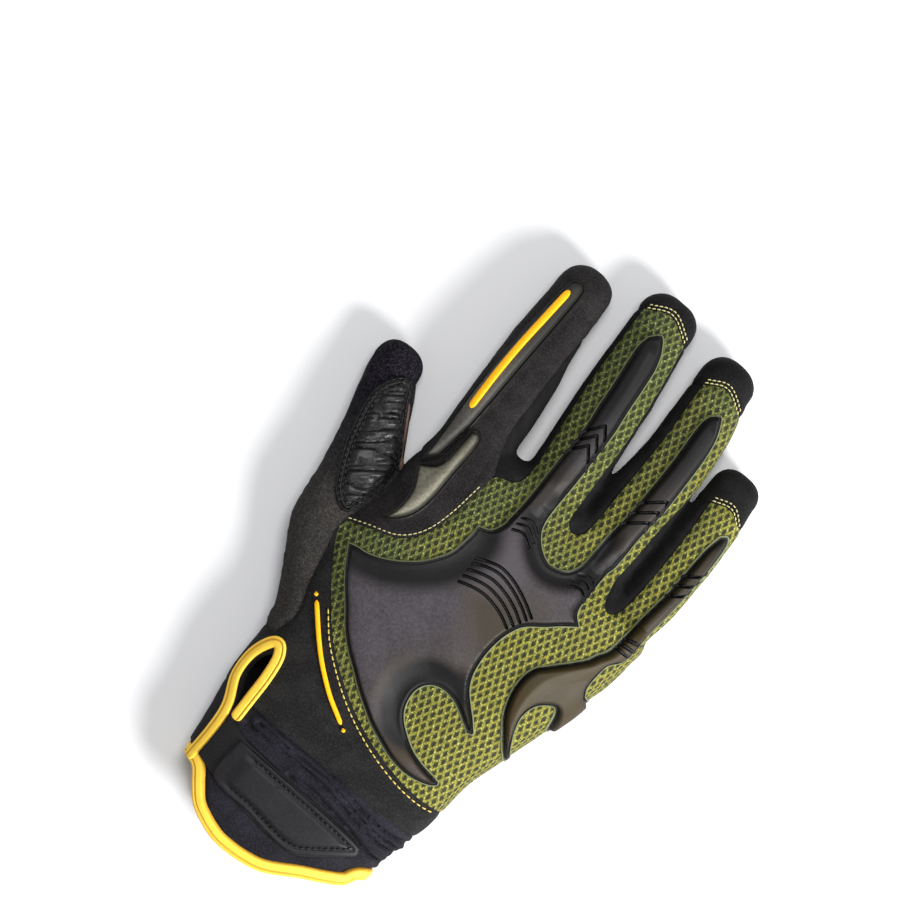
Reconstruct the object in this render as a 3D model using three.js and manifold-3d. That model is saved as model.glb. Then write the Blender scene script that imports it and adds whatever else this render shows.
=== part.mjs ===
// An impact work glove for a right hand, lying palm down on a table: +Z out of the back of the hand,
// +Y towards the fingertips, +X towards the little finger. Millimetres.
//
// The glove's form is six lofts along Y whose cross-sections are superellipses in planes of constant Y:
// the hand with its cuff, four fingers and the thumb. Their union is the outer surface, the same lofts made
// smaller by the cloth's thickness are the hollow, and the same lofts made larger carry the rubber guards.
// Seams are vertical cuts that follow plan outlines, and one side seam that parts back from palm.
import * as THREE from "three";
import { mergeVertices } from "three/addons/utils/BufferGeometryUtils.js";
import Module from "manifold-3d";

const wasm = await Module();
wasm.setup();

// Driving dimensions.
const HAND_WIDTH = 100; // across the hand at the root of the thumb
const BACK_LENGTH = 100; // from the wrist seam to the crotch beside the little finger
const CUFF_LENGTH = 61.6; // from the wrist seam to the lowest point of the hem
const HAND_HEIGHT = 33; // thickest place of the palm, as the glove lies
const THUMB_LENGTH = 109; // from the root inside the wrist to the tip
const THUMB_WIDTH = 30;
const THUMB_HEIGHT = 25;
const CLOTH_WALL = 2.4; // fabric or suede with its padding and lining
const SEAM_GAP = 0.3; // between pieces that meet
const GUARD_THICKNESS = 2.6; // moulded rubber plates
const GUARD_CREST = 1.3; // how far the crests stand above the plates
const GROOVE_WIDTH = 1.0; // flex grooves in the guards
const GROOVE_DEPTH = 1.1;
const PATCH_THICKNESS = 1.0; // leather on the thumb, the palm and two fingertips
const BINDING_WIDTH = 4.8; // yellow edge tape, folded over the edge
const BINDING_PROUD = 0.9; // how far the tape stands off the cloth on each side
const LOOP_WIDTH = 4.6; // tape round the cuff's slit
const LOOP_THICKNESS = 2.2;
const STRAP_THICKNESS = 1.5;
const TAB_THICKNESS = 1.4;
const BAR_HEIGHT = 1.2; // moulded lines on the wrist and the index finger's guard
const BAR_WIDTH = 2.4;

// Fingers: the root is given in hundredths of HAND_WIDTH and BACK_LENGTH, the sizes in millimetres.
const FINGERS = {
  index: { root: [-31, 40], length: 87.5, width: 28, height: 21 },
  middle: { root: [3.5, 40], length: 99.4, width: 28, height: 21 },
  ring: { root: [32, 40], length: 94.3, width: 27, height: 21 },
  little: { root: [58, 30], length: 75, width: 23, height: 19 },
};

// Sections of each finger: along is a share of its length, shift and wide shares of its width,
// rise a share of HAND_HEIGHT, and tall a share of the finger's height.
const FINGER_SECTIONS = {
  index: [
    { along: -0.25, shift: 0.03, wide: 0.98, rise: 0.46, tall: 1.08 },
    { along: 0.0, shift: 0.0, wide: 0.98, rise: 0.47, tall: 1.06 },
    { along: 0.23, shift: -0.04, wide: 1.0, rise: 0.45, tall: 1.02 },
    { along: 0.46, shift: -0.11, wide: 0.96, rise: 0.41, tall: 0.98 },
    { along: 0.68, shift: -0.18, wide: 0.84, rise: 0.35, tall: 0.94 },
    { along: 0.87, shift: -0.2, wide: 0.77, rise: 0.28, tall: 0.89 },
  ],
  middle: [
    { along: -0.2, shift: 0.02, wide: 0.96, rise: 0.47, tall: 1.08 },
    { along: 0.0, shift: 0.0, wide: 0.95, rise: 0.48, tall: 1.06 },
    { along: 0.25, shift: -0.06, wide: 0.98, rise: 0.46, tall: 1.02 },
    { along: 0.5, shift: -0.16, wide: 1.0, rise: 0.41, tall: 0.98 },
    { along: 0.71, shift: -0.24, wide: 0.94, rise: 0.35, tall: 0.94 },
    { along: 0.88, shift: -0.31, wide: 0.86, rise: 0.28, tall: 0.89 },
  ],
  ring: [
    { along: -0.2, shift: 0.02, wide: 0.98, rise: 0.44, tall: 1.06 },
    { along: 0.0, shift: -0.01, wide: 1.02, rise: 0.45, tall: 1.05 },
    { along: 0.26, shift: -0.04, wide: 1.06, rise: 0.43, tall: 1.0 },
    { along: 0.5, shift: -0.03, wide: 0.98, rise: 0.39, tall: 0.97 },
    { along: 0.74, shift: -0.09, wide: 0.92, rise: 0.33, tall: 0.93 },
    { along: 0.89, shift: -0.17, wide: 0.82, rise: 0.28, tall: 0.89 },
  ],
  little: [
    { along: -0.27, shift: -0.1, wide: 0.8, rise: 0.37, tall: 1.04 },
    { along: 0.0, shift: -0.05, wide: 0.92, rise: 0.38, tall: 1.04 },
    { along: 0.27, shift: -0.02, wide: 0.98, rise: 0.37, tall: 1.0 },
    { along: 0.47, shift: -0.02, wide: 0.98, rise: 0.34, tall: 0.97 },
    { along: 0.67, shift: -0.03, wide: 0.95, rise: 0.29, tall: 0.94 },
    { along: 0.86, shift: -0.07, wide: 0.86, rise: 0.25, tall: 0.9 },
  ],
};
const TIP_ROUNDING = 0.38; // length of a fingertip's dome, as a share of the finger's width

// Sections of the thumb: along is a share of THUMB_LENGTH from its root, centre is in hundredths of HAND_WIDTH,
// wide a share of THUMB_WIDTH, rise a share of HAND_HEIGHT, and tall a share of THUMB_HEIGHT.
const THUMB_ROOT = -50; // in hundredths of BACK_LENGTH
const THUMB_SECTIONS = [
  { along: 0.0, centre: -36, wide: 0.93, rise: 0.36, tall: 0.98 },
  { along: 0.16, centre: -45, wide: 1.0, rise: 0.38, tall: 1.02 },
  { along: 0.29, centre: -53, wide: 1.0, rise: 0.38, tall: 1.02 },
  { along: 0.41, centre: -56.3, wide: 0.96, rise: 0.37, tall: 1.0 },
  { along: 0.5, centre: -57.5, wide: 0.97, rise: 0.36, tall: 0.98 },
  { along: 0.6, centre: -59.6, wide: 0.98, rise: 0.35, tall: 0.94 },
  { along: 0.69, centre: -63.2, wide: 0.92, rise: 0.33, tall: 0.89 },
  { along: 0.78, centre: -67.3, wide: 0.83, rise: 0.31, tall: 0.84 },
  { along: 0.87, centre: -71.5, wide: 0.74, rise: 0.29, tall: 0.79 },
  { along: 0.91, centre: -73.4, wide: 0.67, rise: 0.28, tall: 0.76 },
];
const THUMB_TIP_ROUNDING = 0.33; // share of THUMB_WIDTH

// Sections of the hand: y in hundredths of BACK_LENGTH, or down the cuff as a share of CUFF_LENGTH, left and right
// in hundredths of HAND_WIDTH, and top a share of HAND_HEIGHT.
const HAND_SECTIONS = [
  { cuff: 1.13, left: -40, right: 41, top: 0.78 },
  { cuff: 0.678, left: -40.5, right: 41, top: 0.8 },
  { cuff: 0.471, left: -41.8, right: 41.4, top: 0.82 },
  { cuff: 0.282, left: -44.2, right: 43.6, top: 0.84 },
  { cuff: 0.122, left: -46, right: 46.2, top: 0.85 },
  { y: -68, left: -46.5, right: 46.9, top: 0.86 },
  { y: -55, left: -46.5, right: 48, top: 0.89 },
  { y: -40, left: -47.5, right: 52, top: 0.94 },
  { y: -25, left: -48.5, right: 56, top: 0.98 },
  { y: -10, left: -49.3, right: 60, top: 1.0 },
  { y: 5, left: -47, right: 62.8, top: 1.0 },
  { y: 18, left: -44.3, right: 65.2, top: 0.97 },
  { y: 28, left: -43.5, right: 66.2, top: 0.92 },
  { y: 36, left: -42, right: 50, top: 0.86 },
  { y: 45, left: -34, right: 34, top: 0.78 },
];
const HAND_UNDERSIDE = -2.5; // the hand dips this far below the table, which flattens it
const HAND_END_ROUNDING = 4;
const PALM_SHAPE = 2.5; // superellipse exponents
const FINGER_SHAPE = 2.4;
const HAND_SIDES = 20;
const FINGER_SIDES = 10;

// The side seam that parts back from palm: height over the table as a share of HAND_HEIGHT.
const SIDE_SEAM = [
  { y: -160, high: 0.34 },
  { y: -20, high: 0.36 },
  { y: 40, high: 0.36 },
  { y: 80, high: 0.3 },
  { y: 110, high: 0.24 },
  { y: 160, high: 0.2 },
];

// Plan positions. On the back: hundredths of HAND_WIDTH and BACK_LENGTH from a point in the middle of it.
const WRIST_SEAM = -70;
const onBack = (x, y) => new THREE.Vector2((x / 100) * HAND_WIDTH, (y / 100) * BACK_LENGTH);
// On the cuff: down from the wrist seam as a share of CUFF_LENGTH.
const onCuff = (x, share) => onBack(x, WRIST_SEAM).add(new THREE.Vector2(0, -share * CUFF_LENGTH));

// The value of a table's column at a place along it.
function between(rows, key, at, column) {
  let i = rows.findIndex((row) => row[key] >= at);
  if (i < 0) i = rows.length - 1;
  if (i === 0) i = 1;
  const [a, b] = [rows[i - 1], rows[i]];
  const t = (at - a[key]) / (b[key] - a[key]);
  return a[column] + (b[column] - a[column]) * t;
}

// On a finger: across is -1 at its left side and 1 at its right, along a share of its length.
function onFinger(name, across, along) {
  const { root, length, width } = FINGERS[name];
  const rows = FINGER_SECTIONS[name];
  const shift = between(rows, "along", along, "shift") * width;
  const half = (between(rows, "along", along, "wide") * width) / 2;
  return onBack(...root).add(new THREE.Vector2(shift + across * half, along * length));
}

// Rings of a loft: each has its place along Y, centre and half sizes.
function fingerRings(name) {
  const { root, length, width, height } = FINGERS[name];
  const start = onBack(...root);
  return FINGER_SECTIONS[name].map((row) => ({
    y: start.y + row.along * length,
    x: start.x + row.shift * width,
    z: row.rise * HAND_HEIGHT,
    wide: (row.wide * width) / 2,
    tall: (row.tall * height) / 2,
  }));
}

function thumbRings() {
  const start = onBack(0, THUMB_ROOT);
  return THUMB_SECTIONS.map((row) => ({
    y: start.y + row.along * THUMB_LENGTH,
    x: (row.centre / 100) * HAND_WIDTH,
    z: row.rise * HAND_HEIGHT,
    wide: (row.wide * THUMB_WIDTH) / 2,
    tall: (row.tall * THUMB_HEIGHT) / 2,
  }));
}

function handRings() {
  return HAND_SECTIONS.map((row) => {
    const place = row.cuff === undefined ? onBack(0, row.y) : onCuff(0, row.cuff);
    const top = row.top * HAND_HEIGHT;
    return {
      y: place.y,
      x: ((row.left + row.right) / 200) * HAND_WIDTH,
      z: (top + HAND_UNDERSIDE) / 2,
      wide: ((row.right - row.left) / 200) * HAND_WIDTH,
      tall: (top - HAND_UNDERSIDE) / 2,
    };
  });
}

const signedPower = (value, power) => Math.sign(value) * Math.abs(value) ** power;

// A closed loft through rings, grown by an offset, with a dome on its far end.
function loft(rings, dome, shape, sides, offset) {
  const last = rings[rings.length - 1];
  const all = rings.map((r) => ({ ...r, wide: r.wide + offset, tall: r.tall + offset }));
  for (const turn of [42, 74]) {
    const t = THREE.MathUtils.degToRad(turn);
    const shrink = Math.cos(t) ** (2 / shape);
    all.push({
      ...last,
      y: last.y + (dome + offset) * Math.sin(t) ** (2 / shape),
      wide: (last.wide + offset) * shrink,
      tall: (last.tall + offset) * shrink,
    });
  }
  const position = [];
  for (const ring of all)
    for (let k = 0; k < sides; k += 1) {
      const turn = (2 * Math.PI * (k + 0.5)) / sides;
      position.push(
        ring.x + ring.wide * signedPower(Math.cos(turn), 2 / shape),
        ring.y,
        ring.z + ring.tall * signedPower(Math.sin(turn), 2 / shape),
      );
    }
  const index = [];
  for (let j = 0; j + 1 < all.length; j += 1)
    for (let k = 0; k < sides; k += 1) {
      const a = j * sides + k;
      const b = j * sides + ((k + 1) % sides);
      index.push(a, a + sides, b, b, a + sides, b + sides);
    }
  const first = all.length * sides;
  position.push(all[0].x, all[0].y, all[0].z);
  position.push(last.x, last.y + dome + offset, last.z);
  const lastRing = (all.length - 1) * sides;
  for (let k = 0; k < sides; k += 1) {
    const next = (k + 1) % sides;
    index.push(first, k, next);
    index.push(first + 1, lastRing + next, lastRing + k);
  }
  const geometry = new THREE.BufferGeometry();
  geometry.setAttribute("position", new THREE.Float32BufferAttribute(position, 3));
  geometry.setIndex(index);
  return geometry;
}

function solidOf(geometry) {
  const bare = geometry.clone();
  bare.deleteAttribute("normal");
  bare.deleteAttribute("uv");
  const merged = mergeVertices(bare, 1e-4);
  return new wasm.Manifold(
    new wasm.Mesh({
      numProp: 3,
      vertProperties: new Float32Array(merged.attributes.position.array),
      triVerts: new Uint32Array(merged.index.array),
    }),
  );
}

const joined = (solids) => solids.reduce((all, solid) => all.add(solid));

// The glove's whole form, grown by an offset. It is kept, since most pieces use the same few offsets.
const forms = new Map();
function form(offset) {
  if (forms.has(offset)) return forms.get(offset);
  const hand = loft(handRings(), HAND_END_ROUNDING, PALM_SHAPE, HAND_SIDES, offset);
  const thumb = loft(thumbRings(), THUMB_TIP_ROUNDING * THUMB_WIDTH, FINGER_SHAPE, FINGER_SIDES, offset);
  const fingers = Object.keys(FINGERS).map((name) =>
    loft(fingerRings(name), TIP_ROUNDING * FINGERS[name].width, FINGER_SHAPE, FINGER_SIDES, offset),
  );
  forms.set(offset, joined([hand, thumb, ...fingers].map(solidOf)));
  return forms.get(offset);
}

// Outlines: a closed shape made of stretches, each a smooth curve through its points. Stretches meet in corners.
const POINTS_PER_SPAN = 1;
function outline(...stretches) {
  const points = [];
  stretches.forEach((stretch, i) => {
    const next = stretches[(i + 1) % stretches.length][0];
    const through = [...stretch, next];
    if (through.length === 2) {
      points.push(through[0]);
      return;
    }
    const curve = new THREE.SplineCurve(through);
    const spans = (through.length - 1) * POINTS_PER_SPAN;
    points.push(...curve.getPoints(spans).slice(0, -1));
  });
  return points;
}

// The same outline moved outwards by a distance, along the normals of its corners.
function grown(points, distance) {
  const turn = Math.sign(THREE.ShapeUtils.area(points));
  return points.map((point, i) => {
    const before = points[(i + points.length - 1) % points.length];
    const after = points[(i + 1) % points.length];
    const a = point.clone().sub(before).normalize();
    const b = after.clone().sub(point).normalize();
    const normal = new THREE.Vector2(a.y + b.y, -a.x - b.x).normalize();
    return point.clone().addScaledVector(normal, turn * distance);
  });
}

const TALL = 200;
function prism(points, low = -TALL / 2, high = TALL / 2) {
  const geometry = new THREE.ExtrudeGeometry(new THREE.Shape(points), {
    depth: high - low,
    bevelEnabled: false,
  });
  return solidOf(geometry.translate(0, 0, low));
}

// A ribbon of some width along an open plan curve, for seams, grooves and raised lines.
function ribbon(points, width, spans = points.length + 1) {
  const line = points.length > 2 ? new THREE.SplineCurve(points).getPoints(spans) : points;
  const side = (sign) =>
    line.map((point, i) => {
      const a = line[Math.max(i - 1, 0)];
      const b = line[Math.min(i + 1, line.length - 1)];
      const along = b.clone().sub(a).normalize();
      return point.clone().add(new THREE.Vector2(-along.y, along.x).multiplyScalar((sign * width) / 2));
    });
  return [...side(1), ...side(-1).reverse()];
}

// Everything under, or over, the side seam.
function seamHalf(over, gap) {
  const line = SIDE_SEAM.map((row) => [(row.y / 100) * BACK_LENGTH, row.high * HAND_HEIGHT]);
  const edge = over ? TALL : -TALL;
  const shape = new THREE.Shape();
  shape.moveTo(line[0][0], edge);
  for (const [y, z] of line) shape.lineTo(y, z + (over ? gap : -gap) / 2);
  shape.lineTo(line[line.length - 1][0], edge);
  const geometry = new THREE.ExtrudeGeometry(shape, { depth: 3 * TALL, bevelEnabled: false });
  // The drawn profile is (y, z) and runs along X.
  const turned = new THREE.Matrix4().makeBasis(
    new THREE.Vector3(0, 1, 0),
    new THREE.Vector3(0, 0, 1),
    new THREE.Vector3(1, 0, 0),
  );
  return solidOf(geometry.applyMatrix4(turned).translate(-1.5 * TALL, 0, 0));
}

// Plan outlines of the pieces.
const back = (rows) => rows.map(([x, y]) => onBack(x, y));
const cuff = (rows) => rows.map(([x, share]) => onCuff(x, share));
const along = (name, rows) => rows.map(([across, share]) => onFinger(name, across, share));

// The curve where the mesh meets the wrist, from the little finger's side to the thumb.
const MESH_WRIST_EDGE = back([
  [60, -69],
  [47, -69.5],
  [38, -70],
  [25, -68.5],
  [8, -64],
  [-8, -56.5],
  [-24, -45.5],
  [-37, -31.5],
  [-46, -19.5],
  [-50.3, -11],
]);
// Where it meets the index back, from the thumb to the crotch beside the index finger.
const MESH_INDEX_EDGE = back([
  [-50, -7],
  [-42, -3.8],
  [-31, 0.5],
  [-24, 8.5],
  [-20.5, 20],
  [-18.6, 35],
  [-17.5, 41.5],
]);

function meshOutline() {
  return outline(
    MESH_WRIST_EDGE,
    MESH_INDEX_EDGE,
    [...back([[-12.4, 43.6], [-9, 46.5], [-8.4, 54]]), ...along("middle", [[-0.85, 0.28], [-0.87, 0.5], [-0.86, 0.72]])],
    along("middle", [[-0.86, 0.873], [0, 0.914]]),
    [...along("middle", [[0.92, 0.86], [0.93, 0.7], [0.92, 0.45], [0.86, 0.22]]),
      ...back([[14.2, 49], [15.4, 45.4], [18.6, 44], [21.6, 46], [22.6, 52]]),
      ...along("ring", [[-0.6, 0.3], [-0.67, 0.5], [-0.68, 0.72]])],
    along("ring", [[-0.68, 0.838], [0.1, 0.878]]),
    [...along("ring", [[1.15, 0.825], [1.1, 0.6], [1.0, 0.45], [0.88, 0.28]]),
      ...back([[43, 48], [42.8, 40], [44.5, 32], [48, 29.5], [51.6, 33], [52.6, 42]]),
      ...along("little", [[-0.42, 0.4], [-0.48, 0.62]])],
    along("little", [[-0.54, 0.755], [0.25, 0.785]]),
    [...along("little", [[1.3, 0.72], [1.35, 0.4]]), ...back([[76, 20], [70, -20], [62, -50]])],
  );
}

// The outline of the back of the index finger, out past its left side, down to the thumb's crotch.
const INDEX_SIDE_SEAM = [...back([[-18.3, 42.5], [-20.5, 47]]), ...along("index", [[0.6, 0.23], [0.7, 0.46]]),
  ...along("index", [[0.98, 0.7], [1.1, 0.85], [1.3, 1.1]])];
function indexBackOutline() {
  return outline(
    MESH_INDEX_EDGE.slice(0, -1),
    INDEX_SIDE_SEAM,
    along("index", [[-1.6, 1.1]]),
    along("index", [[-1.6, 0.3]]),
    back([[-51, 32], [-46.5, 20], [-45.6, 12], [-47.5, 4]]),
  );
}

// Two points beyond the thumb: past its left side at some height, and past its tip.
const thumbLeft = (y) => new THREE.Vector2(onBack(THUMB_SECTIONS.at(-1).centre, 0).x - THUMB_WIDTH, y);
const thumbTip = (x) => new THREE.Vector2(onBack(x, 0).x, onBack(0, THUMB_ROOT).y + 1.1 * THUMB_LENGTH);

// The thumb and the side of the wrist under it, left of the seam beside the mesh.
function thumbOutline() {
  return outline(
    back([[-47.5, 4], [-50, -6], [-50.6, -12], [-48.6, -22], [-46, -34], [-42, -46]]),
    cuff([[-44, -0.21]]),
    [thumbLeft(onCuff(0, -0.21).y)],
    [thumbLeft(thumbTip(0).y)],
    [thumbTip(-58)],
    back([[-51, 32], [-46.5, 20], [-45.6, 12]]),
  );
}

// The suede front of the thumb, from its crotch round the ball of the thumb.
function thumbFrontOutline() {
  return outline(
    back([[-51, 32], [-46.5, 20], [-43, 8], [-42, -6], [-44.5, -19], [-50, -31]]),
    [thumbLeft(onBack(0, -45).y)],
    [thumbLeft(thumbTip(0).y)],
    [thumbTip(-58)],
  );
}

const TIP_SEAMS = {
  middle: [[-0.86, 0.873], [0, 0.914], [0.92, 0.86]],
  ring: [[-0.68, 0.838], [0.1, 0.878], [1.15, 0.825]],
  little: [[-0.54, 0.755], [0.25, 0.785], [1.3, 0.72]],
};
const TIP_MARGIN = 1.12; // how far a tip's outline stands clear of the finger's sides
function tipOutline(name) {
  const seam = TIP_SEAMS[name];
  return outline(
    along(name, [[-TIP_MARGIN, seam[0][1] - 0.03], ...seam]),
    along(name, [[seam[2][0] + 0.3, seam[2][1]]]),
    along(name, [[seam[2][0] + 0.3, 1.2]]),
    along(name, [[-TIP_MARGIN, 1.2]]),
  );
}

const NEIGHBOURS = [["index", "middle"], ["middle", "ring"], ["ring", "little"]];
const CUFF_TOP = 0.22; // where the gathered cuff starts, as a share of CUFF_LENGTH
// The gap between two neighbouring fingers, from the crotch to beyond their tips.
function fourchetteOutline(left, right) {
  const middleOf = (name, share) => onFinger(name, 0, share);
  return [middleOf(left, -0.2), middleOf(right, -0.2), middleOf(right, 1.1), middleOf(left, 1.1)];
}

function knuckleGuardOutline() {
  return outline(
    back([[-44, -12], [-36, -11.7], [-26, -6.5], [-17, 3], [-12, 15]]),
    back([[-10.4, 24.2], [-6, 24.9], [-3.6, 30]]),
    [...back([[-3.4, 40]]), ...along("middle", [[-0.38, 0.2], [-0.3, 0.45], [-0.29, 0.7]])],
    along("middle", [[-0.24, 0.79], [0.08, 0.843], [0.36, 0.78]]),
    [...along("middle", [[0.5, 0.68], [0.47, 0.45], [0.39, 0.2]]),
      ...back([[8.6, 41], [12, 33], [19, 29.3], [26, 32], [29, 41]]),
      ...along("ring", [[-0.06, 0.22], [-0.11, 0.5], [-0.03, 0.7]])],
    along("ring", [[0.12, 0.757], [0.31, 0.783], [0.46, 0.757]]),
    [...along("ring", [[0.58, 0.66], [0.59, 0.5], [0.58, 0.22]]), ...back([[38.6, 40], [38.4, 29], [39.8, 22.5]])],
    back([[43.5, 18.5], [36, 13.5], [28, 7], [23.3, -4], [23.2, -16], [29, -28.5]]),
    back([[37.8, -37.2]]),
    back([[36, -38.7], [29, -35.6], [20, -32.3], [13, -35.5], [11.3, -42], [16.5, -51.5], [27, -58]]),
    back([[40, -60.8]]),
    back([[38.5, -63.3], [27, -66], [12, -63], [-4, -54.5], [-20, -42.5], [-33, -28.5]]),
  );
}

function outerGuardOutline() {
  return outline(
    along("little", [[0.3, 0.56], [0.4, 0.64], [0.6, 0.68], [0.8, 0.64]]),
    [...along("little", [[0.88, 0.55], [0.84, 0.35], [0.78, 0.15]]), ...back([[64.6, 22], [62.3, 12]])],
    back([[60, 2.5], [66, 0.5]]),
    back([[74, 0]]),
    back([[70, -22]]),
    back([[59.5, -18], [55.5, -11.3], [50, -13], [48.4, -21], [50.5, -30]]),
    back([[54, -36], [60, -42]]),
    back([[53.5, -38.4], [46, -32], [39.6, -20], [38.6, -8], [42.5, 3], [51, 11], [57, 21]]),
    [...back([[58.6, 30]]), ...along("little", [[0.16, 0.14], [0.2, 0.35]])],
  );
}

function indexGuardOutline() {
  return outline(
    along("index", [[-0.62, 0.84], [-0.52, 0.885], [-0.28, 0.905], [0, 0.885]]),
    along("index", [[0.1, 0.83], [0.02, 0.66], [-0.2, 0.46], [-0.32, 0.23], [-0.38, 0.14]]),
    back([[-37.2, 49], [-37, 43]]),
    back([[-37.6, 37.5], [-39, 32.5], [-43, 29.5]]),
    [...back([[-43.2, 38], [-44.6, 50]]), ...along("index", [[-0.9, 0.25], [-0.84, 0.46], [-0.72, 0.66]])],
  );
}

function indexBaseGuardOutline() {
  return outline(
    back([[-36, 49], [-33, 51], [-29.6, 49], [-28.4, 44], [-28.2, 28], [-29.3, 14], [-33, 7]]),
    back([[-41.5, 2]]),
    back([[-38.6, 9], [-38.6, 15], [-40.5, 22]]),
    back([[-42.4, 27.4], [-37.6, 31], [-35.8, 37]]),
  );
}

function thumbPatchOutline() {
  return outline(
    back([[-53, -5], [-61, 1], [-66, 11], [-70, 24], [-72, 36], [-70, 44.5], [-66, 48]]),
    back([[-62, 48.5], [-57, 44]]),
    back([[-46, 21.4]]),
    back([[-46.2, 8], [-49.6, -1.5]]),
  );
}

// The leather patch under the palm, with its round tabs below the middle and ring fingers.
function palmPatchOutline() {
  return outline(
    back([[-33, 30], [-36, 16], [-33, 0], [-24, -14], [-10, -17], [8, -12], [28, -10], [44, -2], [52, 12]]),
    back([[52, 22], [44, 26], [38, 20], [31, 19], [26, 24], [23, 33], [14, 34], [11, 26], [5, 22], [-3, 24]]),
    back([[-8, 32], [-14, 41], [-26, 41]]),
  );
}
const gripOutline = (name) =>
  along(name, [[-0.9, 0.52], [0.85, 0.62], [0.85, 0.86], [0.45, 0.93], [-0.45, 0.93], [-0.9, 0.86]]);

// The hem in plan, from the little finger's side to the thumb's side, and the slit beside the strap.
const HEM_EDGE = cuff([
  [60, 0.53],
  [41, 0.61],
  [36.4, 0.708],
  [29.8, 0.776],
  [22, 0.844],
  [11, 0.951],
  [2, 0.99],
  [-7, 1.0],
  [-13, 0.99],
  [-20.2, 0.951],
  [-25.6, 0.903],
  [-30.4, 0.815],
  [-34, 0.74],
  [-38, 0.72],
  [-52, 0.7],
]);
const SLIT_LINE = cuff([
  [-38.6, 0.753],
  [-38.4, 0.49],
  [-39.8, 0.311],
  [-44.6, 0.141],
  [-45.2, -0.019],
  [-42.6, -0.141],
  [-39.4, -0.179],
  [-36.4, -0.113],
  [-35, 0.028],
  [-34.6, 0.188],
  [-34.2, 0.358],
]);
function slitOutline() {
  return outline(
    cuff([[-38.8, 0.8], [-38.6, 0.49], [-39.4, 0.339], [-43.4, 0.151], [-43.8, -0.019], [-41.6, -0.104], [-39.2, -0.132],
      [-37.2, -0.075], [-36.2, 0.028], [-35.8, 0.188], [-35.4, 0.377], [-35.2, 0.565], [-35, 0.8]]),
  );
}

function strapOutline() {
  return outline(
    cuff([[-35.6, 0.348]]),
    cuff([[-25, 0.4], [-5, 0.419], [15, 0.428], [29, 0.447], [33.4, 0.48], [31, 0.556]]),
    cuff([[24, 0.65], [16.5, 0.73], [8, 0.749], [-8, 0.739], [-22, 0.711]]),
    cuff([[-35.6, 0.659]]),
  );
}
function tabOutline() {
  return outline(
    cuff([[-26, 0.438]]),
    cuff([[-5, 0.447], [15, 0.457], [28, 0.475], [30, 0.499]]),
    cuff([[22, 0.626], [15, 0.701]]),
    cuff([[8, 0.714], [-8, 0.706], [-26, 0.669]]),
  );
}
const INDEX_BAR_LINE = along("index", [[-0.74, 0.25], [-0.68, 0.46], [-0.54, 0.66], [-0.4, 0.8]]);
const WRIST_BAR_LINE = back([[-42, -34], [-33, -43], [-24, -52], [-14, -60.5], [-6, -65.5], [2, -69]]);

// Crests and grooves of the guards, as ribbons: a line and a width.
const CRESTS = {
  knuckle_guard: [
    { line: back([[2.6, 52], [2.2, 62]]).concat(along("middle", [[0.06, 0.4], [0.1, 0.55], [0.1, 0.74]])), width: 5 },
    { line: back([[34.4, 44], [34.6, 62]]).concat(along("ring", [[0.24, 0.4], [0.26, 0.68]])), width: 4.4 },
    { line: back([[-34, -20], [-20, -32], [-5, -45], [12, -57.5], [24, -61.5]]), width: 5.5 },
    { line: back([[-8, 4], [2, -14], [16, -18], [24, -28], [32, -33.5]]), width: 6.5 },
  ],
  outer_guard: [
    { line: back([[62.2, 40], [60.6, 20], [52, 6], [44.5, -8], [46, -25]]), width: 4.2 },
    { line: along("little", [[0.56, 0.2], [0.6, 0.42], [0.62, 0.6]]), width: 3.6 },
  ],
  index_base_guard: [{ line: back([[-33, 47], [-32.6, 30], [-33, 16], [-36, 7]]), width: 3.6 }],
};
const FLEX_ARCS = [0, 1, 2, 3].map((i) => [
  onBack(-3.6 + 0.3 * i, 13.4 - 3.1 * i),
  onBack(8, 16.2 - 3.3 * i),
  onBack(26 - 1.4 * i, 9.8 - 2.6 * i),
]);
const GROOVES = { knuckle_guard: FLEX_ARCS };

// The whole form as it lies on the table, and what is left of it under some depth of cloth.
const FAR = 300;
const box = (low, high) =>
  prism([new THREE.Vector2(-FAR, -FAR), new THREE.Vector2(FAR, -FAR), new THREE.Vector2(FAR, FAR),
    new THREE.Vector2(-FAR, FAR)], low, high);
const resting = (depth) => form(-depth).subtract(box(-TALL, depth));
const layer = (from, to) => resting(from).subtract(resting(to));

const over = seamHalf(true, SEAM_GAP);
const under = seamHalf(false, SEAM_GAP);
const hollow = resting(CLOTH_WALL);

// Below the hem nothing is left. The band above it belongs to the binding.
function beyond(edge, away) {
  const moved = edge.map((point) => point.clone().add(new THREE.Vector2(0, away)));
  const last = moved.pop();
  return prism(outline(moved, [last], [new THREE.Vector2(-FAR, -FAR)], [new THREE.Vector2(FAR, -FAR)]));
}
const slit = prism(slitOutline(), SIDE_SEAM[0].high * HAND_HEIGHT + CLOTH_WALL, TALL);
const hemBand = beyond(HEM_EDGE, BINDING_WIDTH + SEAM_GAP);
const wall = resting(0).subtract(hollow).subtract(hemBand).subtract(slit);
const cutAround = (solid, points) => solid.subtract(prism(grown(points, SEAM_GAP)));

const pieces = {};

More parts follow.
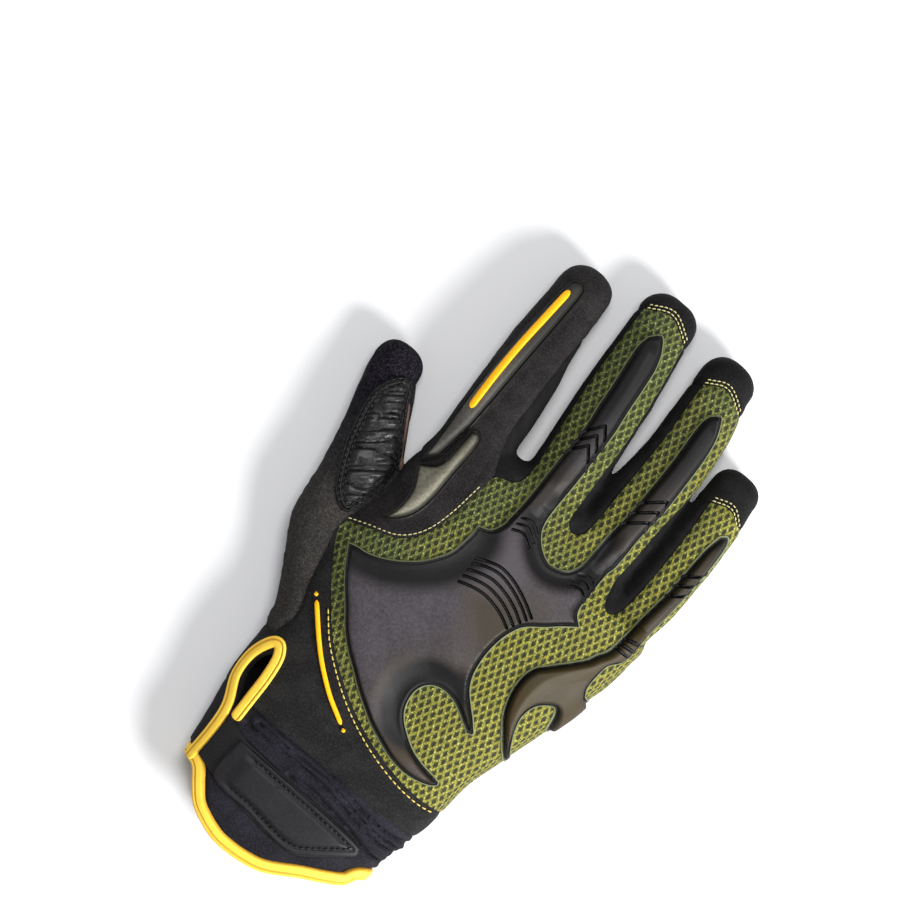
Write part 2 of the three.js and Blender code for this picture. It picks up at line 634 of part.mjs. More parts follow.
// Fabric pieces: each takes its outline from what the earlier ones left.
function fabricPieces() {
  let top = wall.intersect(over);
  const take = (name, points) => {
    pieces[name] = top.intersect(prism(points));
    top = cutAround(top, points);
  };
  for (const name of Object.keys(TIP_SEAMS)) take(name + "_tip", tipOutline(name));
  take("back_mesh", meshOutline());
  take("index_back", indexBackOutline());
  take("thumb_back", thumbOutline());
  for (const [left, right] of NEIGHBOURS)
    take("fourchette_" + left + "_" + right, fourchetteOutline(left, right));
  const belowCuffTop = (away) => beyond([onCuff(-90, CUFF_TOP), onCuff(90, CUFF_TOP)].reverse(), away);
  pieces.cuff = wall.intersect(belowCuffTop(0));
  pieces.wrist_back = top.subtract(belowCuffTop(SEAM_GAP));
  const bottom = wall.intersect(under).subtract(belowCuffTop(SEAM_GAP));
  pieces.thumb_front = bottom.intersect(prism(thumbFrontOutline()));
  pieces.palm_panel = cutAround(bottom, thumbFrontOutline());
}

// Leather on the palm side is let into the cloth, so that the glove still lies flat.
function palmLeather() {
  const inset = layer(0, PATCH_THICKNESS).intersect(under);
  const pocket = (points) => prism(grown(points, SEAM_GAP)).subtract(resting(PATCH_THICKNESS + SEAM_GAP));
  const outlines = { palm_patch: palmPatchOutline(), middle_grip: gripOutline("middle"), ring_grip: gripOutline("ring") };
  for (const [name, points] of Object.entries(outlines)) {
    pieces[name] = inset.intersect(prism(points));
    pieces.palm_panel = pieces.palm_panel.subtract(pocket(points));
  }
}

// A plate that follows the skin inside an outline, between two heights over the cloth.
const PLATE_FOOT = 0.36; // plates end at this share of HAND_HEIGHT, where they wrap over a side
const plate = (points, low, high) =>
  form(high).subtract(form(low)).intersect(prism(points, PLATE_FOOT * HAND_HEIGHT, TALL));

function guard(name, points) {
  const foot = SEAM_GAP;
  const face = foot + GUARD_THICKNESS;
  const crests = (CRESTS[name] ?? []).map(({ line, width }) => plate(ribbon(line, width), foot, face + GUARD_CREST));
  const solid = joined([plate(points, foot, face), ...crests]).intersect(prism(points));
  const grooves = (GROOVES[name] ?? []).map((line) => prism(ribbon(line, GROOVE_WIDTH)));
  if (grooves.length === 0) return solid;
  return solid.subtract(joined(grooves).subtract(form(face - GROOVE_DEPTH)));
}

function trims() {
  pieces.knuckle_guard = guard("knuckle_guard", knuckleGuardOutline());
  pieces.outer_guard = guard("outer_guard", outerGuardOutline());
  pieces.index_guard = guard("index_guard", indexGuardOutline());
  pieces.index_base_guard = guard("index_base_guard", indexBaseGuardOutline());
  pieces.thumb_patch = plate(thumbPatchOutline(), SEAM_GAP, SEAM_GAP + PATCH_THICKNESS);
  const guardFace = SEAM_GAP + GUARD_THICKNESS + SEAM_GAP;
  pieces.index_bar = plate(ribbon(INDEX_BAR_LINE, BAR_WIDTH), guardFace, guardFace + BAR_HEIGHT);
  pieces.wrist_bar = plate(ribbon(WRIST_BAR_LINE, BAR_WIDTH), SEAM_GAP, SEAM_GAP + BAR_HEIGHT);
  const tape = ribbon(SLIT_LINE, LOOP_WIDTH);
  pieces.slit_binding = plate(tape, SEAM_GAP, SEAM_GAP + LOOP_THICKNESS).subtract(hemBand);
  const strapTop = SEAM_GAP + STRAP_THICKNESS;
  const tab = plate(tabOutline(), strapTop + SEAM_GAP, strapTop + SEAM_GAP + TAB_THICKNESS);
  pieces.strap = cutAround(plate(strapOutline(), SEAM_GAP, strapTop), tape).subtract(hemBand);
  pieces.strap_tab = cutAround(tab, tape).subtract(hemBand);
}

// The tape round the hem is folded over the edge, so it stands proud of the cloth inside and out.
function hemBinding() {
  const outside = form(BINDING_PROUD).subtract(box(-TALL, 0));
  const inside = resting(CLOTH_WALL + BINDING_PROUD);
  const zone = beyond(HEM_EDGE, BINDING_WIDTH).subtract(beyond(HEM_EDGE, 0));
  pieces.hem_binding = outside.subtract(inside).intersect(zone).subtract(slit);
}

fabricPieces();
palmLeather();
trims();
hemBinding();

// Looks are another script's work: these colours only tell the pieces apart.
const MATERIALS = {
  yellow_mesh: { color: 0xa3a83a, nodes: ["back_mesh", "middle_tip", "ring_tip", "little_tip"] },
  foamed_fabric: { color: 0x2b2a2a, nodes: ["index_back", "wrist_back", "cuff"] },
  terry: { color: 0x161616, nodes: ["thumb_back"] },
  suede: { color: 0x1d1c1c, nodes: ["palm_panel", "thumb_front"] },
  leather: { color: 0x101010, nodes: ["thumb_patch", "palm_patch", "middle_grip", "ring_grip"] },
  rubber: { color: 0x3c3a38, nodes: ["knuckle_guard", "outer_guard", "index_guard", "index_base_guard", "strap_tab"] },
  yellow_rubber: { color: 0xf0c020, nodes: ["wrist_bar", "index_bar"] },
  yellow_tape: { color: 0xe8c030, nodes: ["hem_binding", "slit_binding"] },
  webbing: { color: 0x0e0e0e, nodes: ["strap"] },
};
const FOURCHETTE_MATERIAL = "suede";

function geometryOf(solid) {
  const { numProp, numVert, vertProperties, triVerts } = solid.getMesh();
  const position = new Float32Array(numVert * 3);
  for (let i = 0; i < numVert; i += 1) position.set(vertProperties.subarray(i * numProp, i * numProp + 3), i * 3);
  const geometry = new THREE.BufferGeometry();
  geometry.setAttribute("position", new THREE.BufferAttribute(position, 3));
  geometry.setIndex(new THREE.BufferAttribute(triVerts, 1));
  return geometry.toNonIndexed();
}

// The frame's origin is under the middle of the whole glove.
const whole = joined(Object.values(pieces)).boundingBox();
const origin = [0, 1].map((axis) => (whole.min[axis] + whole.max[axis]) / 2);
const group = new THREE.Group();
for (const [name, solid] of Object.entries(pieces)) {
  const owner = Object.entries(MATERIALS).find(([, { nodes }]) => nodes.includes(name));
  const [slot, { color }] = owner ?? [FOURCHETTE_MATERIAL, MATERIALS[FOURCHETTE_MATERIAL]];
  const material = new THREE.MeshStandardMaterial({ name: slot, color, roughness: 0.8 });
  const mesh = new THREE.Mesh(geometryOf(solid.translate([-origin[0], -origin[1], 0])), material);
  mesh.name = name;
  group.add(mesh);
}
export default group;
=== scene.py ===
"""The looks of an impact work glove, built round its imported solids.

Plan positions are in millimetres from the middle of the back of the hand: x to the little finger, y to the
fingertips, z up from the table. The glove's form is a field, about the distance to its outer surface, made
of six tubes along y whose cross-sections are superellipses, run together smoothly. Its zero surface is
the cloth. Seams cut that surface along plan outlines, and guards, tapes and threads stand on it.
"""

import functools
import math

import bpy
import numpy as np
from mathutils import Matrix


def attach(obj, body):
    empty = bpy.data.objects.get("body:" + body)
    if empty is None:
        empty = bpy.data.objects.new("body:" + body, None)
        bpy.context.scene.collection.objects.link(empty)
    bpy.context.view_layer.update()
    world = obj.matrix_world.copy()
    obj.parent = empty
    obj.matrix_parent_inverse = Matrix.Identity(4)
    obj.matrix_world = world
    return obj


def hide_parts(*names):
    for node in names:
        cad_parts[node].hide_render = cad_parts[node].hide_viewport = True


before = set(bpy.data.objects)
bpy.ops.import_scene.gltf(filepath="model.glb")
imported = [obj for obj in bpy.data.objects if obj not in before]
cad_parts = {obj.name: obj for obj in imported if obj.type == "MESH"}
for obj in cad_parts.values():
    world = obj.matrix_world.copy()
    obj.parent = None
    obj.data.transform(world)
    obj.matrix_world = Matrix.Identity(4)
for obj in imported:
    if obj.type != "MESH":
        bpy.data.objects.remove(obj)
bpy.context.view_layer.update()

MM = 0.001
ORIGIN = np.array([-7.34, 3.26, 0.0])  # the part's origin, seen from the middle of the back of the hand
HAND_WIDTH = 100
CUFF_LENGTH = 61.6
HAND_HEIGHT = 33
THUMB_LENGTH = 109
THUMB_WIDTH = 30
THUMB_HEIGHT = 25
CLOTH = 1.9  # thickness of a panel
SKIN_STEP = 1.12  # edge length of the cloth's triangles


def table(columns, rows):
    """A table's columns by name."""
    return dict(zip(columns.split(), np.array(rows, float).T))


# A section's along is a share of the finger's length, its shift and wide of the width, its tall of the
# height, and its rise of HAND_HEIGHT. left and right are in hundredths of HAND_WIDTH.
FINGERS = {
    "index": {"root": (-31, 40), "length": 87.5, "width": 28, "height": 21},
    "middle": {"root": (3.5, 40), "length": 99.4, "width": 28, "height": 21},
    "ring": {"root": (32, 40), "length": 94.3, "width": 27, "height": 21},
    "little": {"root": (58, 30), "length": 75, "width": 23, "height": 19},
}
FINGER_SECTIONS = {
    "index": table("along shift wide rise tall", [
        (-0.25, 0.03, 0.98, 0.46, 1.08),
        (0.0, 0.0, 0.98, 0.47, 1.06),
        (0.23, -0.04, 1.0, 0.45, 1.02),
        (0.46, -0.11, 0.96, 0.41, 0.98),
        (0.68, -0.18, 0.84, 0.35, 0.94),
        (0.87, -0.2, 0.77, 0.28, 0.89),
    ]),
    "middle": table("along shift wide rise tall", [
        (-0.2, 0.02, 0.96, 0.47, 1.08),
        (0.0, 0.0, 0.95, 0.48, 1.06),
        (0.25, -0.06, 0.98, 0.46, 1.02),
        (0.5, -0.16, 1.0, 0.41, 0.98),
        (0.71, -0.24, 0.94, 0.35, 0.94),
        (0.88, -0.31, 0.86, 0.28, 0.89),
    ]),
    "ring": table("along shift wide rise tall", [
        (-0.2, 0.02, 0.98, 0.44, 1.06),
        (0.0, -0.01, 1.02, 0.45, 1.05),
        (0.26, -0.04, 1.06, 0.43, 1.0),
        (0.5, -0.03, 0.98, 0.39, 0.97),
        (0.74, -0.09, 0.92, 0.33, 0.93),
        (0.89, -0.17, 0.82, 0.28, 0.89),
    ]),
    "little": table("along shift wide rise tall", [
        (-0.27, -0.1, 0.8, 0.37, 1.04),
        (0.0, -0.05, 0.92, 0.38, 1.04),
        (0.27, -0.02, 0.98, 0.37, 1.0),
        (0.47, -0.02, 0.98, 0.34, 0.97),
        (0.67, -0.03, 0.95, 0.29, 0.94),
        (0.86, -0.07, 0.86, 0.25, 0.9),
    ]),
}
THUMB_SECTIONS = table("along centre wide rise tall", [
    (0.0, -36, 0.93, 0.36, 0.98),
    (0.16, -45, 1.0, 0.38, 1.02),
    (0.29, -53, 1.0, 0.38, 1.02),
    (0.41, -56.3, 0.96, 0.37, 1.0),
    (0.5, -57.5, 0.97, 0.36, 0.98),
    (0.6, -59.6, 0.98, 0.35, 0.94),
    (0.69, -63.2, 0.92, 0.33, 0.89),
    (0.78, -67.3, 0.83, 0.31, 0.84),
    (0.87, -71.5, 0.74, 0.29, 0.79),
    (0.91, -73.4, 0.67, 0.28, 0.76),
])
CUFF_SECTIONS = table("share left right top", [
    (1.13, -40, 41, 0.78),
    (0.678, -40.5, 41, 0.8),
    (0.471, -41.8, 41.4, 0.82),
    (0.282, -44.2, 43.6, 0.84),
    (0.122, -46, 46.2, 0.85),
])
HAND_SECTIONS = table("y left right top", [
    (-68, -46.5, 46.9, 0.86),
    (-55, -46.5, 48, 0.89),
    (-40, -47.5, 52, 0.94),
    (-25, -48.5, 56, 0.98),
    (-10, -49.3, 60, 1.0),
    (5, -47, 62.8, 1.0),
    (18, -44.3, 65.2, 0.97),
    (28, -43.5, 66.2, 0.92),
    (36, -42, 50, 0.86),
    (45, -34, 34, 0.78),
])
THUMB_ROOT = -50
HAND_UNDERSIDE = -2.5  # the hand dips this far below the table, which flattens it
FINGER_SHAPE = 2.4  # exponents of the superellipses
THUMB_SHAPE = 2.3
HAND_SHAPE = 2.5
HAND_DOME = 6
TIP_DOME = 0.38  # share of a finger's width
THUMB_DOME = 0.33  # share of THUMB_WIDTH
WRIST_SEAM = -70
CUFF_TOP = 0.22  # share of CUFF_LENGTH where the gathers start
SIDE_SEAM = table("y high", [(-160, 0.34), (-20, 0.36), (40, 0.36), (80, 0.3), (110, 0.24), (160, 0.2)])


def on_cuff(*rows):
    """Plan points from x and a share of the way down the cuff."""
    x, share = np.array(rows, float).T
    return np.column_stack([x, WRIST_SEAM - share * CUFF_LENGTH])


def on_finger(name, *rows):
    """Plan points from -1 to 1 across a finger and a share of its length."""
    across, along = np.array(rows, float).T
    finger, sections = FINGERS[name], FINGER_SECTIONS[name]
    shift = np.interp(along, sections["along"], sections["shift"]) * finger["width"]
    half = np.interp(along, sections["along"], sections["wide"]) * finger["width"] / 2
    x, y = finger["root"]
    return np.column_stack([x + shift + across * half, y + along * finger["length"]])


def smooth_column(at, places, values):
    """Cubic interpolation of a table's column, whose slope at each place is the mean of its neighbours'."""
    slopes = np.gradient(values, places)
    i = np.clip(np.searchsorted(places, at) - 1, 0, len(places) - 2)
    step = places[i + 1] - places[i]
    t = (at - places[i]) / step
    start = (1 + 2 * t) * (1 - t) ** 2 * values[i] + t * (1 - t) ** 2 * step * slopes[i]
    return start + t**2 * (3 - 2 * t) * values[i + 1] + t**2 * (t - 1) * step * slopes[i + 1]


class Tube:
    """A closed tube along y. Its section at y is a superellipse with its centre at (x, z)."""

    def __init__(self, y, x, z, wide, tall, exponent, dome, root=8):
        self.y, self.columns = y, (x, z, wide, tall)
        self.exponent, self.dome, self.root = exponent, dome, root

    def section(self, y):
        inside = np.clip(y, self.y[0], self.y[-1])
        return [smooth_column(inside, self.y, values) for values in self.columns]

    def distance(self, x, y, z):
        """The superellipse's radius less one, divided by its slope, which is a distance near the surface."""
        cx, cz, wide, tall = self.section(y)
        n = self.exponent
        a, b = np.abs(x - cx) / wide, np.abs(z - cz) / tall
        c = np.maximum(y - self.y[-1], 0) / self.dome + np.maximum(self.y[0] - y, 0) / self.root
        r = np.maximum((a**n + b**n + c**n) ** (1 / n), 0.05)
        steep = [(a / r) ** (n - 1) / wide, (b / r) ** (n - 1) / tall, (c / r) ** (n - 1) / self.dome]
        return (r - 1) / np.sqrt(steep[0] ** 2 + steep[1] ** 2 + steep[2] ** 2)


def finger_tube(name):
    finger, rows = FINGERS[name], FINGER_SECTIONS[name]
    (x, y), width = finger["root"], finger["width"]
    return Tube(
        y + rows["along"] * finger["length"],
        x + rows["shift"] * width,
        rows["rise"] * HAND_HEIGHT,
        rows["wide"] * width / 2,
        rows["tall"] * finger["height"] / 2,
        FINGER_SHAPE,
        TIP_DOME * width,
    )


def hand_tube():
    y = np.append(WRIST_SEAM - CUFF_SECTIONS["share"] * CUFF_LENGTH, HAND_SECTIONS["y"])
    left, right, top = [np.append(CUFF_SECTIONS[key], HAND_SECTIONS[key]) for key in ("left", "right", "top")]
    return Tube(
        y,
        (left + right) / 200 * HAND_WIDTH,
        (top * HAND_HEIGHT + HAND_UNDERSIDE) / 2,
        (right - left) / 200 * HAND_WIDTH,
        (top * HAND_HEIGHT - HAND_UNDERSIDE) / 2,
        HAND_SHAPE,
        HAND_DOME,
    )


HAND = hand_tube()
THUMB = Tube(
    THUMB_ROOT + THUMB_SECTIONS["along"] * THUMB_LENGTH,
    THUMB_SECTIONS["centre"] / 100 * HAND_WIDTH,
    THUMB_SECTIONS["rise"] * HAND_HEIGHT,
    THUMB_SECTIONS["wide"] * THUMB_WIDTH / 2,
    THUMB_SECTIONS["tall"] * THUMB_HEIGHT / 2,
    THUMB_SHAPE,
    THUMB_DOME * THUMB_WIDTH,
)
DIGITS = [finger_tube(name) for name in FINGERS]
HAND_BLEND = 7  # how widely a finger runs into the hand
CROTCH_BLEND = 3.6  # and into its neighbour
TABLE_BLEND = 2.5  # how widely the cloth rounds off onto the table


def union(a, b, width):
    """The smaller of two distances, rounded off by a parabola where they are within width of each other."""
    near = np.maximum(width - np.abs(a - b), 0) / width
    return np.minimum(a, b) - near**2 * width / 4


def field(x, y, z):
    """About the distance in mm to the glove's surface: negative inside, with the table cutting it flat."""
    hand = HAND.distance(x, y, z)
    total = union(hand, THUMB.distance(x, y, z), HAND_BLEND)
    for digit in DIGITS:
        total = union(total, union(hand, digit.distance(x, y, z), HAND_BLEND), CROTCH_BLEND)
    return -union(-total, z, TABLE_BLEND)


def slope(p, reach=0.05):
    """The field's gradient at each point, by central differences."""
    steps = np.eye(3) * reach
    return np.column_stack([(field(*(p + s).T) - field(*(p - s).T)) / (2 * reach) for s in steps])


def unit(v):
    """Vectors made one long."""
    return v / np.maximum(np.linalg.norm(v, axis=-1, keepdims=True), 1e-9)


def normals_at(p):
    return unit(slope(p))


def settle(p, level=0.0, rounds=4):
    """Newton's steps along the gradient onto the surface at a height over the cloth."""
    for _ in range(rounds):
        g = slope(p)
        step = (field(*p.T) - level) / np.maximum((g**2).sum(1), 0.05)
        p = p - np.clip(step, -3, 3)[:, None] * g
    return p


DROP_HEIGHT = HAND_HEIGHT + 12.0
DROP_STEP = 0.8  # share of the distance left


def drop(xy, level=0.0, low=12.0):
    """Points over plan positions come down until they meet the surface, or lean onto its side from there."""
    p = np.column_stack([xy, np.full(len(xy), DROP_HEIGHT)])
    for _ in range(40):
        p[:, 2] = np.maximum(p[:, 2] - DROP_STEP * np.maximum(field(*p.T) - level, 0), low)
    return settle(p, level, 3)


# Triangle meshes are kept as an array of points and an array of faces.


def surface(low, high, step):
    """The field's zero surface. Each cell of a cubic grid that it crosses gives a point, which settles on it,
    and each grid edge that it crosses joins the points of the four cells round that edge."""
    x, y, z = [np.arange(a, b, step) for a, b in zip(low, high)]
    inside = field(x[:, None, None], y[None, :, None], z[None, None, :]) < 0
    corners = sum(
        inside[i : len(x) - 1 + i, j : len(y) - 1 + j, k : len(z) - 1 + k].astype(int)
        for i in (0, 1)
        for j in (0, 1)
        for k in (0, 1)
    )
    mixed = (corners > 0) & (corners < 8)
    number = np.full(mixed.shape, -1)
    number[mixed] = np.arange(mixed.sum())
    i, j, k = np.nonzero(mixed)
    points = np.column_stack([x[i], y[j], z[k]]) + step / 2
    quads = []
    for axis in range(3):
        turned = np.moveaxis(inside, axis, 0)
        cells = np.moveaxis(number, axis, 0)
        cross = turned[:-1, 1:-1, 1:-1] != turned[1:, 1:-1, 1:-1]
        at = np.nonzero(cross)
        a, b, c = at[0], at[1], at[2]
        ring = np.column_stack([cells[a, b + i, c + j] for i, j in ((0, 0), (1, 0), (1, 1), (0, 1))])
        outwards = turned[:-1, 1:-1, 1:-1][at]
        if axis == 1:
            outwards = ~outwards
        quads.append(np.where(outwards[:, None], ring, ring[:, ::-1]))
    quads = np.vstack(quads)
    quads = quads[(quads >= 0).all(1)]
    faces = np.vstack([quads[:, [0, 1, 2]], quads[:, [0, 2, 3]]])
    points = settle(points, rounds=3)
    for _ in range(3):
        points = settle(relaxed(points, faces), rounds=1)
    return points, faces


def edges_of(faces):
    """The three directed edges of each face, in turn."""
    return np.vstack([faces[:, [0, 1]], faces[:, [1, 2]], faces[:, [2, 0]]])


def relaxed(points, faces):
    """Each point moves to the mean of its neighbours."""
    start, end = edges_of(faces).T
    count = np.bincount(start, minlength=len(points))
    total = [np.bincount(start, points[end, k], minlength=len(points)) for k in range(3)]
    return np.column_stack(total) / np.maximum(count, 1)[:, None]


def compact(points, faces):
    used, places = np.unique(faces, return_inverse=True)
    return points[used], places.reshape(faces.shape)


def score(points, faces, s):
    """Adds the line s = 0 to a mesh: each edge that it crosses gets a point, and its triangles divide."""
    s = np.where(np.abs(s) < 1e-6, 1e-6, s)
    below = s[faces] < 0
    count = below.sum(1)
    split = (count == 1) | (count == 2)
    odd = np.where(count == 1, below.argmax(1), below.argmin(1))[split]
    turned = np.take_along_axis(faces[split], (odd[:, None] + np.arange(3)) % 3, 1)
    a, b, c = turned.T
    ends = np.sort(np.vstack([turned[:, [0, 1]], turned[:, [0, 2]]]), axis=1)
    keys, places = np.unique(ends[:, 0] * len(points) + ends[:, 1], return_inverse=True)
    low, high = keys // len(points), keys % len(points)
    share = (s[low] / (s[low] - s[high]))[:, None]
    added = points[low] + share * (points[high] - points[low])
    ab, ac = len(points) + places[: len(a)], len(points) + places[len(a) :]
    pieces = [np.column_stack(corners) for corners in ((a, ab, ac), (ab, b, c), (ab, c, ac))]
    return np.vstack([points, added]), np.vstack([faces[~split], *pieces]), np.append(s, np.zeros(len(added)))


def cut(mesh, value):
    """The part of a mesh where a function of its points is negative, cut off along its zero line."""
    points, faces, s = score(*mesh, value(mesh[0]))
    return compact(points, faces[s[faces].sum(1) < 0])


def scored(mesh, value, levels):
    """The whole mesh, with lines added where a function of its points takes the given values."""
    for level in levels:
        points, faces, _ = score(*mesh, value(mesh[0]) - level)
        mesh = points, faces
    return mesh


def refined(mesh):
    """Each triangle becomes four."""
    points, faces = mesh
    pairs = np.sort(edges_of(faces), axis=1)
    keys, places = np.unique(pairs[:, 0] * len(points) + pairs[:, 1], return_inverse=True)
    middles = (points[keys // len(points)] + points[keys % len(points)]) / 2
    ab, bc, ca = len(points) + places.reshape(3, -1)
    a, b, c = faces.T
    corners = [(a, ab, ca), (ab, b, bc), (ca, bc, c), (ab, bc, ca)]
    return np.vstack([points, middles]), np.vstack([np.column_stack(corner) for corner in corners])


def rim_of(faces, count):
    """The directed edges that only one face has."""
    edges = edges_of(faces)
    there, back = edges[:, 0] * count + edges[:, 1], edges[:, 1] * count + edges[:, 0]
    return edges[~np.isin(there, back)]


def closed(top, bottom, faces):
    """A shell: the faces on the top points, the same turned over on the bottom points, and a wall between."""
    n = len(top)
    a, b = rim_of(faces, n).T
    walls = [np.column_stack([b, a, a + n]), np.column_stack([b, a + n, b + n])]
    return np.vstack([top, bottom]), np.vstack([faces, faces[:, ::-1] + n, *walls])


def rim_distance(points, faces):
    """How far each point is from the mesh's open rim, in space."""
    rim = points[np.unique(rim_of(faces, len(points)))]
    best = np.full(len(points), np.inf)
    for chunk in np.array_split(rim, max(1, len(rim) // 60)):
        gaps = ((points[:, None, :] - chunk[None, :, :]) ** 2).sum(2)
        best = np.minimum(best, gaps.min(1))
    return np.sqrt(best)


def curve(points, per_span=8):
    """A smooth line through points: each span is a cubic that leaves a point along its neighbours' line."""
    p = np.asarray(points, float)
    if len(p) < 3:
        return p
    p = np.vstack([2 * p[0] - p[1], p, 2 * p[-1] - p[-2]])
    t = np.linspace(0, 1, per_span, endpoint=False)[None, :, None]
    a, b, c, d = [p[i : len(p) - 3 + i, None, :] for i in range(4)]
    bend, twist = 2 * a - 5 * b + 4 * c - d, 3 * b - a - 3 * c + d
    line = 0.5 * (2 * b + (c - a) * t + bend * t**2 + twist * t**3)
    return np.vstack([line.reshape(-1, p.shape[1]), p[-2]])


def outline(*stretches):
    """A closed plan outline. Each stretch is a smooth line that ends in a corner, where the next starts."""
    line = []
    for i, stretch in enumerate(stretches):
        through = np.vstack([stretch, stretches[(i + 1) % len(stretches)][:1]])
        line.append(curve(through)[:-1] if len(through) > 2 else through[:1])
    return np.vstack(line)


def even(line, pitch):
    """A line's points respaced at an even pitch."""
    lengths = np.append(0, np.cumsum(np.linalg.norm(np.diff(line, axis=0), axis=1)))
    at = np.linspace(0, lengths[-1], max(2, int(round(lengths[-1] / pitch)) + 1))
    return np.column_stack([np.interp(at, lengths, values) for values in line.T])


def beside(line, distance):
    """A plan line moved sideways: to the left of its direction where the distance is positive."""
    step = unit(np.gradient(line, axis=0))
    return line + distance * np.column_stack([-step[:, 1], step[:, 0]])


def line_distance(p, line):
    """Distance in plan from each point to a line of straight steps."""
    best = np.full(len(p), np.inf)
    for a, b in zip(line[:-1], line[1:]):
        step = b - a
        t = np.clip((p[:, :2] - a) @ step / max(step @ step, 1e-12), 0, 1)
        best = np.minimum(best, ((p[:, :2] - a - t[:, None] * step) ** 2).sum(1))
    return np.sqrt(best)


def within(p, line):
    """Distance in plan to a closed outline, negative inside: a ray from there crosses it oddly."""
    x, y = p[:, 0], p[:, 1]
    odd = np.zeros(len(p), bool)
    for a, b in zip(line, np.roll(line, -1, 0)):
        if a[1] != b[1]:
            odd ^= ((a[1] > y) != (b[1] > y)) & (x < (b[0] - a[0]) * (y - a[1]) / (b[1] - a[1]) + a[0])
    return np.where(odd, -1, 1) * line_distance(p, np.vstack([line, line[:1]]))


def smooth_step(t):
    t = np.clip(t, 0, 1)
    return t * t * (3 - 2 * t)


def bump(distance, width):
    """A rounded ridge: 1 on its line, falling off as a bell."""
    return np.exp(-((distance / width) ** 2))


def noise(p, size, seed=0):
    """Smooth random values from -1 to 1: each corner of a grid has one, and cubic steps mix them."""
    q = p / size
    cell = np.floor(q).astype(np.int64)
    t = smooth_step(q - cell)
    total = np.zeros(len(p))
    for corner in range(8):
        bits = np.array([corner & 1, corner >> 1 & 1, corner >> 2 & 1])
        at = cell + bits
        mixed = (at[:, 0] * 73856093) ^ (at[:, 1] * 19349663) ^ (at[:, 2] * 83492791) ^ (seed * 2654435761)
        mixed = (mixed ^ (mixed >> 13)) * 1274126177 & 0xFFFFFFFF
        value = ((mixed ^ (mixed >> 16)) & 0xFFFF) / 32767.5 - 1
        weight = np.where(bits, t, 1 - t).prod(1)
        total += weight * value
    return total


def side_seam(p):
    """Height over the seam that parts back from palm: negative above it."""
    return np.interp(p[:, 1], SIDE_SEAM["y"], SIDE_SEAM["high"] * HAND_HEIGHT) - p[:, 2]


def unrolled(p):
    """Cloth coordinates: x and y in plan. x grows by the drop down each side, so a weave keeps its scale."""
    tubes = [HAND, THUMB, *DIGITS]
    nearest = np.argmin([tube.distance(*p.T) for tube in tubes], axis=0)
    x = p[:, 0].copy()
    for number, tube in enumerate(tubes):
        mine = nearest == number
        cx, cz, _, tall = tube.section(p[mine, 1])
        x[mine] += np.sign(p[mine, 0] - cx) * np.maximum(cz + 0.55 * tall - p[mine, 2], 0)
    return np.column_stack([x, p[:, 1], np.zeros(len(p))])


# Seams and outlines in plan, in the same words as the part's.

def rows(*points):
    return np.array(points, float)


MESH_WRIST_EDGE = rows(
    [60, -69], [47, -69.5], [38, -70], [25, -68.5], [8, -64], [-8, -56.5], [-24, -45.5], [-37, -31.5],
    [-46, -19.5], [-50.3, -11],
)
MESH_INDEX_EDGE = rows(
    [-50, -7], [-42, -3.8], [-31, 0.5], [-24, 8.5], [-20.5, 20], [-18.6, 35], [-17.5, 41.5],
)
TIP_SEAMS = {
    "middle": [[-0.86, 0.873], [0, 0.914], [0.92, 0.86]],
    "ring": [[-0.68, 0.838], [0.1, 0.878], [1.15, 0.825]],
    "little": [[-0.54, 0.755], [0.25, 0.785], [1.3, 0.72]],
}
HEM_EDGE = on_cuff(
    [60, 0.53], [41, 0.61], [36.4, 0.708], [29.8, 0.776], [22, 0.844], [11, 0.951], [2, 0.99], [-7, 1.0],
    [-13, 0.99], [-20.2, 0.951], [-25.6, 0.903], [-30.4, 0.815], [-34, 0.74], [-38, 0.72], [-52, 0.7],
)
SLIT_LINE = on_cuff(
    [-38.6, 0.753], [-38.4, 0.49], [-39.8, 0.311], [-44.6, 0.141], [-45.2, -0.019], [-42.6, -0.141],
    [-39.4, -0.179], [-36.4, -0.113], [-35, 0.028], [-34.6, 0.188], [-34.2, 0.35],
)
FAR = 300
SEAM_MARGIN = 1.12  # how far a cap's outline stands clear of the finger's sides
middle, ring, little = [functools.partial(on_finger, name) for name in ("middle", "ring", "little")]
MESH_LINE = outline(
    MESH_WRIST_EDGE,
    MESH_INDEX_EDGE,
    np.vstack([
        rows([-12.4, 43.6], [-9, 46.5], [-8.4, 54]),
        middle([-0.85, 0.28], [-0.87, 0.5], [-0.86, 0.72]),
    ]),
    middle([-0.86, 0.873], [0, 0.914]),
    np.vstack([
        middle([0.92, 0.86], [0.93, 0.7], [0.92, 0.45], [0.86, 0.22]),
        rows([14.2, 49], [15.4, 45.4], [18.6, 44], [21.6, 46], [22.6, 52]),
        ring([-0.6, 0.3], [-0.67, 0.5], [-0.68, 0.72]),
    ]),
    ring([-0.68, 0.838], [0.1, 0.878]),
    np.vstack([
        ring([1.15, 0.825], [1.1, 0.6], [1.0, 0.45], [0.88, 0.28]),
        rows([43, 48], [42.8, 40], [44.5, 32], [48, 29.5], [51.6, 33], [52.6, 42]),
        little([-0.42, 0.4], [-0.48, 0.62]),
    ]),
    little([-0.54, 0.755], [0.25, 0.785]),
    np.vstack([little([1.3, 0.72], [1.35, 0.4]), rows([76, 20], [70, -20], [62, -50])]),
)
INDEX_BACK_LINE = outline(
    MESH_INDEX_EDGE[:-1],
    np.vstack([rows([-18.3, 42.5], [-20.5, 47]),
               on_finger("index", [0.6, 0.23], [0.7, 0.46], [0.98, 0.7], [1.1, 0.85], [1.3, 1.1])]),
    on_finger("index", [-1.6, 1.1]),
    on_finger("index", [-1.6, 0.3]),
    rows([-51, 32], [-46.5, 20], [-45.6, 12], [-47.5, 4]),
)
